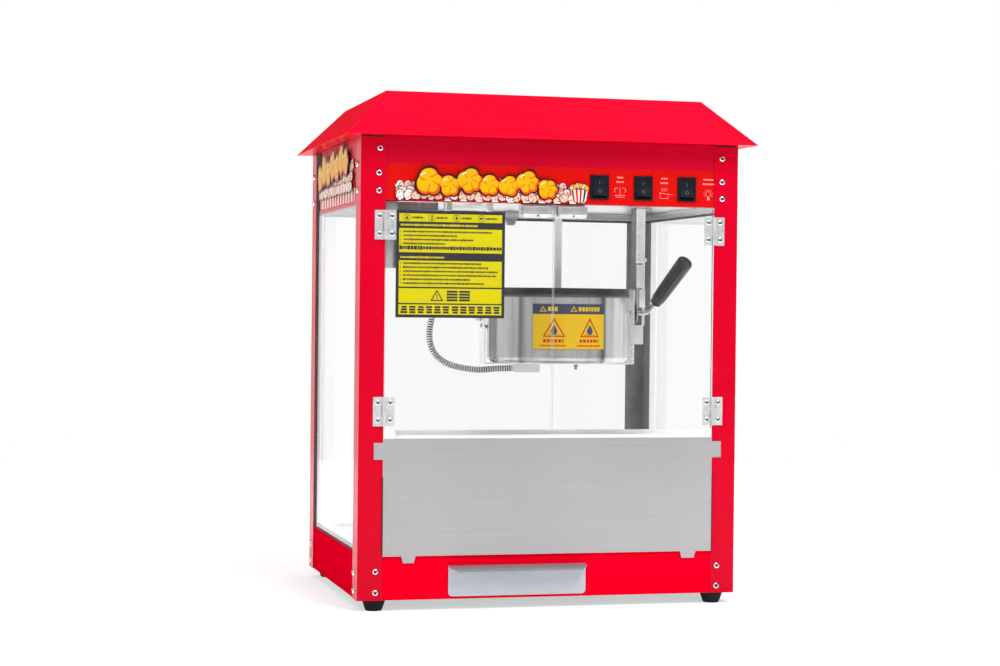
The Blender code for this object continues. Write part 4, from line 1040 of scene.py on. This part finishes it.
def make_kettle_placard():
    """Amber placard bent round the front of the kettle: triangles, drops and dashes, with no lettering."""
    rng = random.Random(5)
    relief = Relief(0.00015)
    half, low_v, high_v = 0.0523, 0.34, 0.4026
    field_top = high_v - 0.014
    inset = 0.0004
    relief.base(rect(-half, low_v, half, high_v, 0.001), LABEL_SLATE)
    relief.lay(rect(-half + inset, low_v + inset, half - inset, field_top), 1, LABEL_AMBER)

    def words(start, end, v, height, long, gap, layer, material):
        dashes(relief, rng, v, start, end, height, layer, material, gap, long, over=gap)

    for u, words_end in ((-0.0375, -0.018), (0.005, 0.044)):
        relief.lay(triangle(u, field_top + 0.0034, field_top + 0.011, 0.005), 1, LABEL_AMBER)
        relief.lay(triangle(u, field_top + 0.0044, field_top + 0.009, 0.0032), 2, LABEL_SLATE)
        words(u + 0.0068, words_end, field_top + 0.007, 0.0058, (0.0026, 0.004), 0.0012, 1, LABEL_AMBER)
    foot, peak = 0.3572, 0.3838
    for u, reach in ((-0.0222, 0.0158), (0.0286, 0.0146)):
        relief.lay(triangle(u, foot, peak, reach), 2, LABEL_RED)
        relief.lay(triangle(u, foot + 0.0016, peak - 0.0042, reach - 0.003), 3, LABEL_AMBER)
        drop = [(u, foot + 0.0172)] + arc(u, foot + 0.0078, 0.0046, 20, -200)
        relief.lay(drop, 4, LABEL_SLATE)
        relief.lay(rect(u - 0.0085, foot + 0.0024, u + 0.0085, foot + 0.0032), 4, LABEL_SLATE)
        words(u - 0.015, u + 0.012, 0.3518, 0.0044, (0.0036, 0.0044), 0.0012, 2, LABEL_RED)
        words(u - 0.019, u + 0.016, 0.3452, 0.0022, (0.002, 0.0038), 0.0009, 2, LABEL_RED)
    relief.slice_across(-half, half, 0.0055)
    turn = math.radians(-5.6)

    def wrap(u, v, w):
        angle = u / KETTLE_RADIUS + turn
        reach = KETTLE_RADIUS + w
        return Vector((KETTLE_X + reach * math.sin(angle), -reach * math.cos(angle), v))
    relief.finish("kettle_placard", "kettle", wrap)


# ---------------------------------------------------------------- glazing channels
def make_channels():
    """Channels that hold the panes along posts, headers and base, and the covers beside them."""
    inset = 0.0003
    inner_x = GLASS_INNER_X - inset
    inner_y = REAR_GLASS_INNER_Y - inset
    thick = 0.0012
    wall_x, wall_y = inner_x - thick, inner_y - thick
    post_in = 0.2245
    foot = DECK_TOP + inset
    rail_low, rail_high, liner_high = 0.5274, 0.5306, CEILING - inset
    sections = {"pale": bmesh.new(), "right": bmesh.new(), "dark": bmesh.new(), "liners": bmesh.new()}
    # The left rear cover and wall strip are a pale, glowing copy of the grey ones on the right: painted
    # light.
    for sign, back in ((-1, "pale"), (1, "right")):
        for group, low, high in (
                ("pale", (wall_x, 0.129, SIDE_BOTTOM + 0.0045), (inner_x, 0.154, rail_low)),
                (back, (wall_x, 0.1545, foot), (inner_x, inner_y, rail_low)),
                (back, (post_in, wall_y, foot), (wall_x, inner_y, rail_low)),
                ("dark", (wall_x, -0.1905, foot), (inner_x, -0.16, rail_low)),
                ("dark", (0.2265, -0.1922, SIDE_BOTTOM), (wall_x, -0.1912, SIDE_TOP)),
                ("dark", (wall_x, -0.16, foot), (inner_x, 0.154, SIDE_BOTTOM + 0.004)),
                ("dark", (wall_x - 0.0006, -0.174, rail_low), (inner_x, inner_y, rail_high)),
                ("liners", (wall_x, -0.174, rail_high), (inner_x, inner_y, liner_high))):
            side_box(sections[group], sign, low, high)
    for group, reach, low, high in (
            ("dark", wall_x - 0.0008, rail_low, rail_high), ("dark", post_in, foot, DECK_TOP + 0.006),
            ("liners", wall_x - 0.0008, rail_high, liner_high)):
        bevelled_box(sections[group], (-reach, wall_y, low), (reach, inner_y, high), 0.0003, 1)
    for group, name, material in (
            ("pale", "pale_rear_covers", LILAC), ("right", "right_rear_cover", CHANNEL),
            ("dark", "glazing_channels", CHANNEL_DARK), ("liners", "header_liners", POLISHED)):
        add_piece(name, "cabinet", sections[group], [material])


def make_gaskets():
    """Outside trims: tapered rear gaskets and a hem on each side header; and dark strips in the gaps by the
    front posts and below the eave, which are painted shadow.
    """
    skin, proud = SIDE_SKIN + 0.0001, SIDE_SKIN + 0.0009
    front = POST_FRONT - 0.0001
    wedge_top = EAVE - 0.0015
    wedge = ((0.134, SIDE_TOP), (0.1605, SIDE_TOP), (0.1605, wedge_top), (0.1235, wedge_top))
    for side, sign, band in (("left", -1, 0.144), ("right", 1, 0.156)):
        gasket, hem, seal = bmesh.new(), bmesh.new(), bmesh.new()
        stitch(gasket, [ring(gasket, [(sign * x, y, z) for y, z in wedge]) for x in (skin, proud)])
        side_box(gasket, sign, (skin, band, SIDE_BOTTOM), (proud, 0.1604, SIDE_TOP - 0.0003))
        side_box(gasket, sign, (skin, -0.16, SIDE_BOTTOM - 0.002), (proud, 0.1436, SIDE_BOTTOM + 0.0006))
        add_piece(f"{side}_gasket", "cabinet", gasket, [SEAL])
        side_box(hem, sign, (skin, -0.16, SIDE_TOP + 0.0004), (proud, 0.1335, SIDE_TOP + 0.0048))
        add_piece(f"{side}_header_hem", "cabinet", hem, [POST_RED])
        # Dark strips in the gaps at the front posts' inner edges and below the eave, where shade falls:
        # painted shadow.
        side_box(seal, sign, (POST_EDGE - 0.0001, front - 0.0013, 0.0725),
                 (POST_EDGE + 0.0011, front, 0.176))
        if side == "right":
            side_box(seal, sign, (POST_EDGE - 0.0009, DOOR_BACK + 0.0004, 0.237),
                     (POST_EDGE - 0.0001, DOOR_BACK + 0.002, DOOR_TOP))
        side_box(seal, sign, (POST_EDGE + 0.0012, front - 0.0006, EAVE - 0.0022),
                 (POST_SIDE - 0.0012, front, EAVE - 0.0004), 0.0002)
        add_piece(f"{side}_front_shadow_strips", "cabinet", seal, [SEAL])


# ---------------------------------------------------------------- handle grip
HANDLE_BEND = Vector((0.197, 0.0, PIVOT_HEIGHT))
HANDLE_TIP = Vector((0.2265, -0.076, 0.464))


def make_grip():
    """Tapered grip with shallow flutes, a collar and a dished end."""
    along = (HANDLE_TIP - HANDLE_BEND).normalized()
    length = 0.088
    place = facing(HANDLE_TIP - along * length, along)
    profile = (
        (0.0042, 0.0), (0.0066, 0.0003), (0.008, 0.0012), (0.0085, 0.003), (0.0081, 0.0048),
        (0.0083, 0.0064), (0.0096, 0.0085), (0.0101, 0.02), (0.0105, 0.036), (0.0108, 0.052),
        (0.0111, 0.068), (0.0113, 0.079), (0.0114, 0.084), (0.0111, 0.0865), (0.0102, 0.0878),
        (0.009, 0.088), (0.008, 0.0874), (0.0074, 0.085), (0.004, 0.0846), (0.0, 0.0845))
    rim_ring = 15
    sides, flutes, flute_depth = 48, 12, 0.0009
    form = bmesh.new()
    rings = []
    for radius, height in profile:
        depth = flute_depth if 0.01 < height < 0.082 else 0.0
        spots = []
        for k, (x, y) in enumerate(circle(sides)):
            reach = radius - depth * (0.5 - 0.5 * math.cos(2 * math.pi * flutes * k / sides))
            spots.append((reach * x, reach * y, height))
        rings.append(ring(form, spots if radius else spots[:1], place))
    # The dished end takes the paler copy: painted highlight.
    stitch(form, rings, lambda span: int(span >= rim_ring))
    item = add_piece("fluted_grip", "kettle", form, [GRIP, GRIP_END_HIGHLIGHT], 40)
    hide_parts("handle_grip")


# ---------------------------------------------------------------- hanging gear details
def make_latch():
    """Bright gear beside the right hanger: four plates, two short rods, a long one and a round button."""
    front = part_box("right_hanger")[0].y
    form = bmesh.new()
    for left, right, near, far, low, high, radius in (
            (0.1738, 0.1868, 0.0032, 0.0006, 0.462, 0.54, 0.0006),
            (0.1728, 0.189, 0.005, 0.0036, 0.464, 0.469, 0.0006),
            (0.1745, 0.1866, 0.003, 0.0008, 0.427, 0.46, 0.0006),
            (0.1785, 0.187, 0.0052, 0.0008, 0.399, 0.4245, 0.0008)):
        bevelled_box(form, (left, front - near, low), (right, front - far, high), radius)
    for x in (0.1765, 0.184):
        sweep(form, [Vector((x, front - 0.0052, z)) for z in (0.47, 0.5, 0.536)], [0.0012] * 3, 10)
    lathe(form, ((0, 0), (0.003, 0.0), (0.0036, 0.0008), (0.0036, 0.003), (0.0028, 0.004), (0, 0.004)),
          facing((0.18, front - 0.005, 0.4665), (0, -1, 0)), 20)
    sweep(form, [Vector((0.1945, 0.015, z)) for z in (0.373, 0.4, 0.43, 0.464)], [0.002] * 4, 12)
    # This steel glows a little: painted light.
    add_piece("right_latch", "cabinet", form, [SHAFT_STEEL], 40)
    box_piece("hanger_liner", "cabinet", "black_rubber", CHANNEL,
              ((0.1744, -0.0119, 0.424), (0.1754, 0.0119, 0.5404), 0.0003, 1))


def make_kettle_fittings():
    """Dark rim bead, pivot collar, white stop plate, the stud below and two screws on the left bracket."""
    rim = bmesh.new()
    lathe(rim, ((0.1003, 0.4128), (0.1012, 0.412), (0.102, 0.413), (0.102, 0.4162), (0.1012, 0.4169),
                (0.1003, 0.416)), Matrix.Translation((KETTLE_X, 0, 0)), 96, closed=True)
    add_piece("kettle_rim_bead", "kettle", rim, [DARK_STEEL], 40)

    collar = bmesh.new()
    lathe(collar, ((0.0042, 0.0003), (0.0042, 0.003), (0.016, 0.003), (0.0172, 0.0022), (0.0172, 0.0003)),
          facing((0.1722, 0, PIVOT_HEIGHT), (1, 0, 0)), 40, closed=True)
    add_piece("pivot_collar", "kettle", collar, [DARK_STEEL], 40)
    box_piece("stop_plate", "kettle", "white_plastic", WHITE,
              ((0.1645, -0.0172, 0.3466), (0.1845, -0.0152, 0.374)))

    form = bmesh.new()
    lathe(form, ((0, 0), (0.0036, 0), (0.0036, 0.0038), (0.0027, 0.0044), (0.0027, 0.0072), (0, 0.008)),
          facing((0.088, -0.006, 0.3172), (0, 0, -1)), 20)
    screw_head(form, (KETTLE_X - 0.1101, 0.0, 0.3705), (-1, 0, 0), 0.0042, 0.0018)
    screw_head(form, (KETTLE_X - 0.1075, -0.0151, 0.37), (0, -1, 0), 0.003, 0.001)
    add_piece("kettle_studs", "kettle", form, [CHROME, RECESS], 40)


def make_ceiling_fittings():
    """Rail over the left door's corner, a grey sheet at that corner that is a painted reflection, and a
    small bracket on the rear rail.
    """
    box_piece("corner_rail", "cabinet", "zinc_plate", ZINC,
              ((-0.224, -0.17, 0.519), (-0.176, -0.156, 0.5338), 0.001),
              ((-0.1745, -0.169, 0.523), (-0.15, -0.157, 0.5338), 0.001))
    # A grey sheet at the left door's top corner: painted reflection.
    box_piece("corner_reflection_sheet", "cabinet", "zinc_plate", CATCH_STEEL,
              ((-0.224, -0.1868, 0.4465), (-0.2085, -0.1858, 0.5338), 0.0004))
    form = bmesh.new()
    outline = ((0.029, 0.5305), (0.049, 0.5305), (0.044, 0.5205), (0.034, 0.5205))
    stitch(form, [ring(form, [(x, y, z) for x, z in outline]) for y in (0.178, 0.185)])
    add_piece("rail_bracket", "cabinet", form, [CATCH_STEEL])


def make_catch_clips():
    """Folded steel clips over the doors' top edges: a grey plate, a paler rolled lip and a screw."""
    front = DOOR_FRONT - 0.0002
    for side, centre in (("left", -0.0225), ("right", 0.0265)):
        body = f"{side}_door"
        box_piece(f"{side}_catch_clip", body, "zinc_plate", CATCH_STEEL, (
            (centre - 0.0205, front - 0.001, 0.5212), (centre + 0.0205, front, DOOR_TOP - 0.0004), 0.0004))
        form = bmesh.new()
        low, high = (centre - 0.019, front - 0.002, 0.515), (centre + 0.019, front, 0.5208)
        bevelled_box(form, low, high, 0.0009)
        screw_head(form, (centre + 0.001, front - 0.002, 0.5184), (0, -1, 0), 0.0024, 0.0009)
        add_piece(f"{side}_catch_lip", body, form, [LINER, RECESS], 40)


make_camera()
make_studio()
dress_nodes()
make_conduit()
make_screws()
make_front_art()
make_side_art()
make_switch_marks()
make_rocker_marks()
make_door_placard()
make_kettle_placard()
make_channels()
make_gaskets()
make_grip()
make_latch()
make_kettle_fittings()
make_ceiling_fittings()
make_catch_clips()
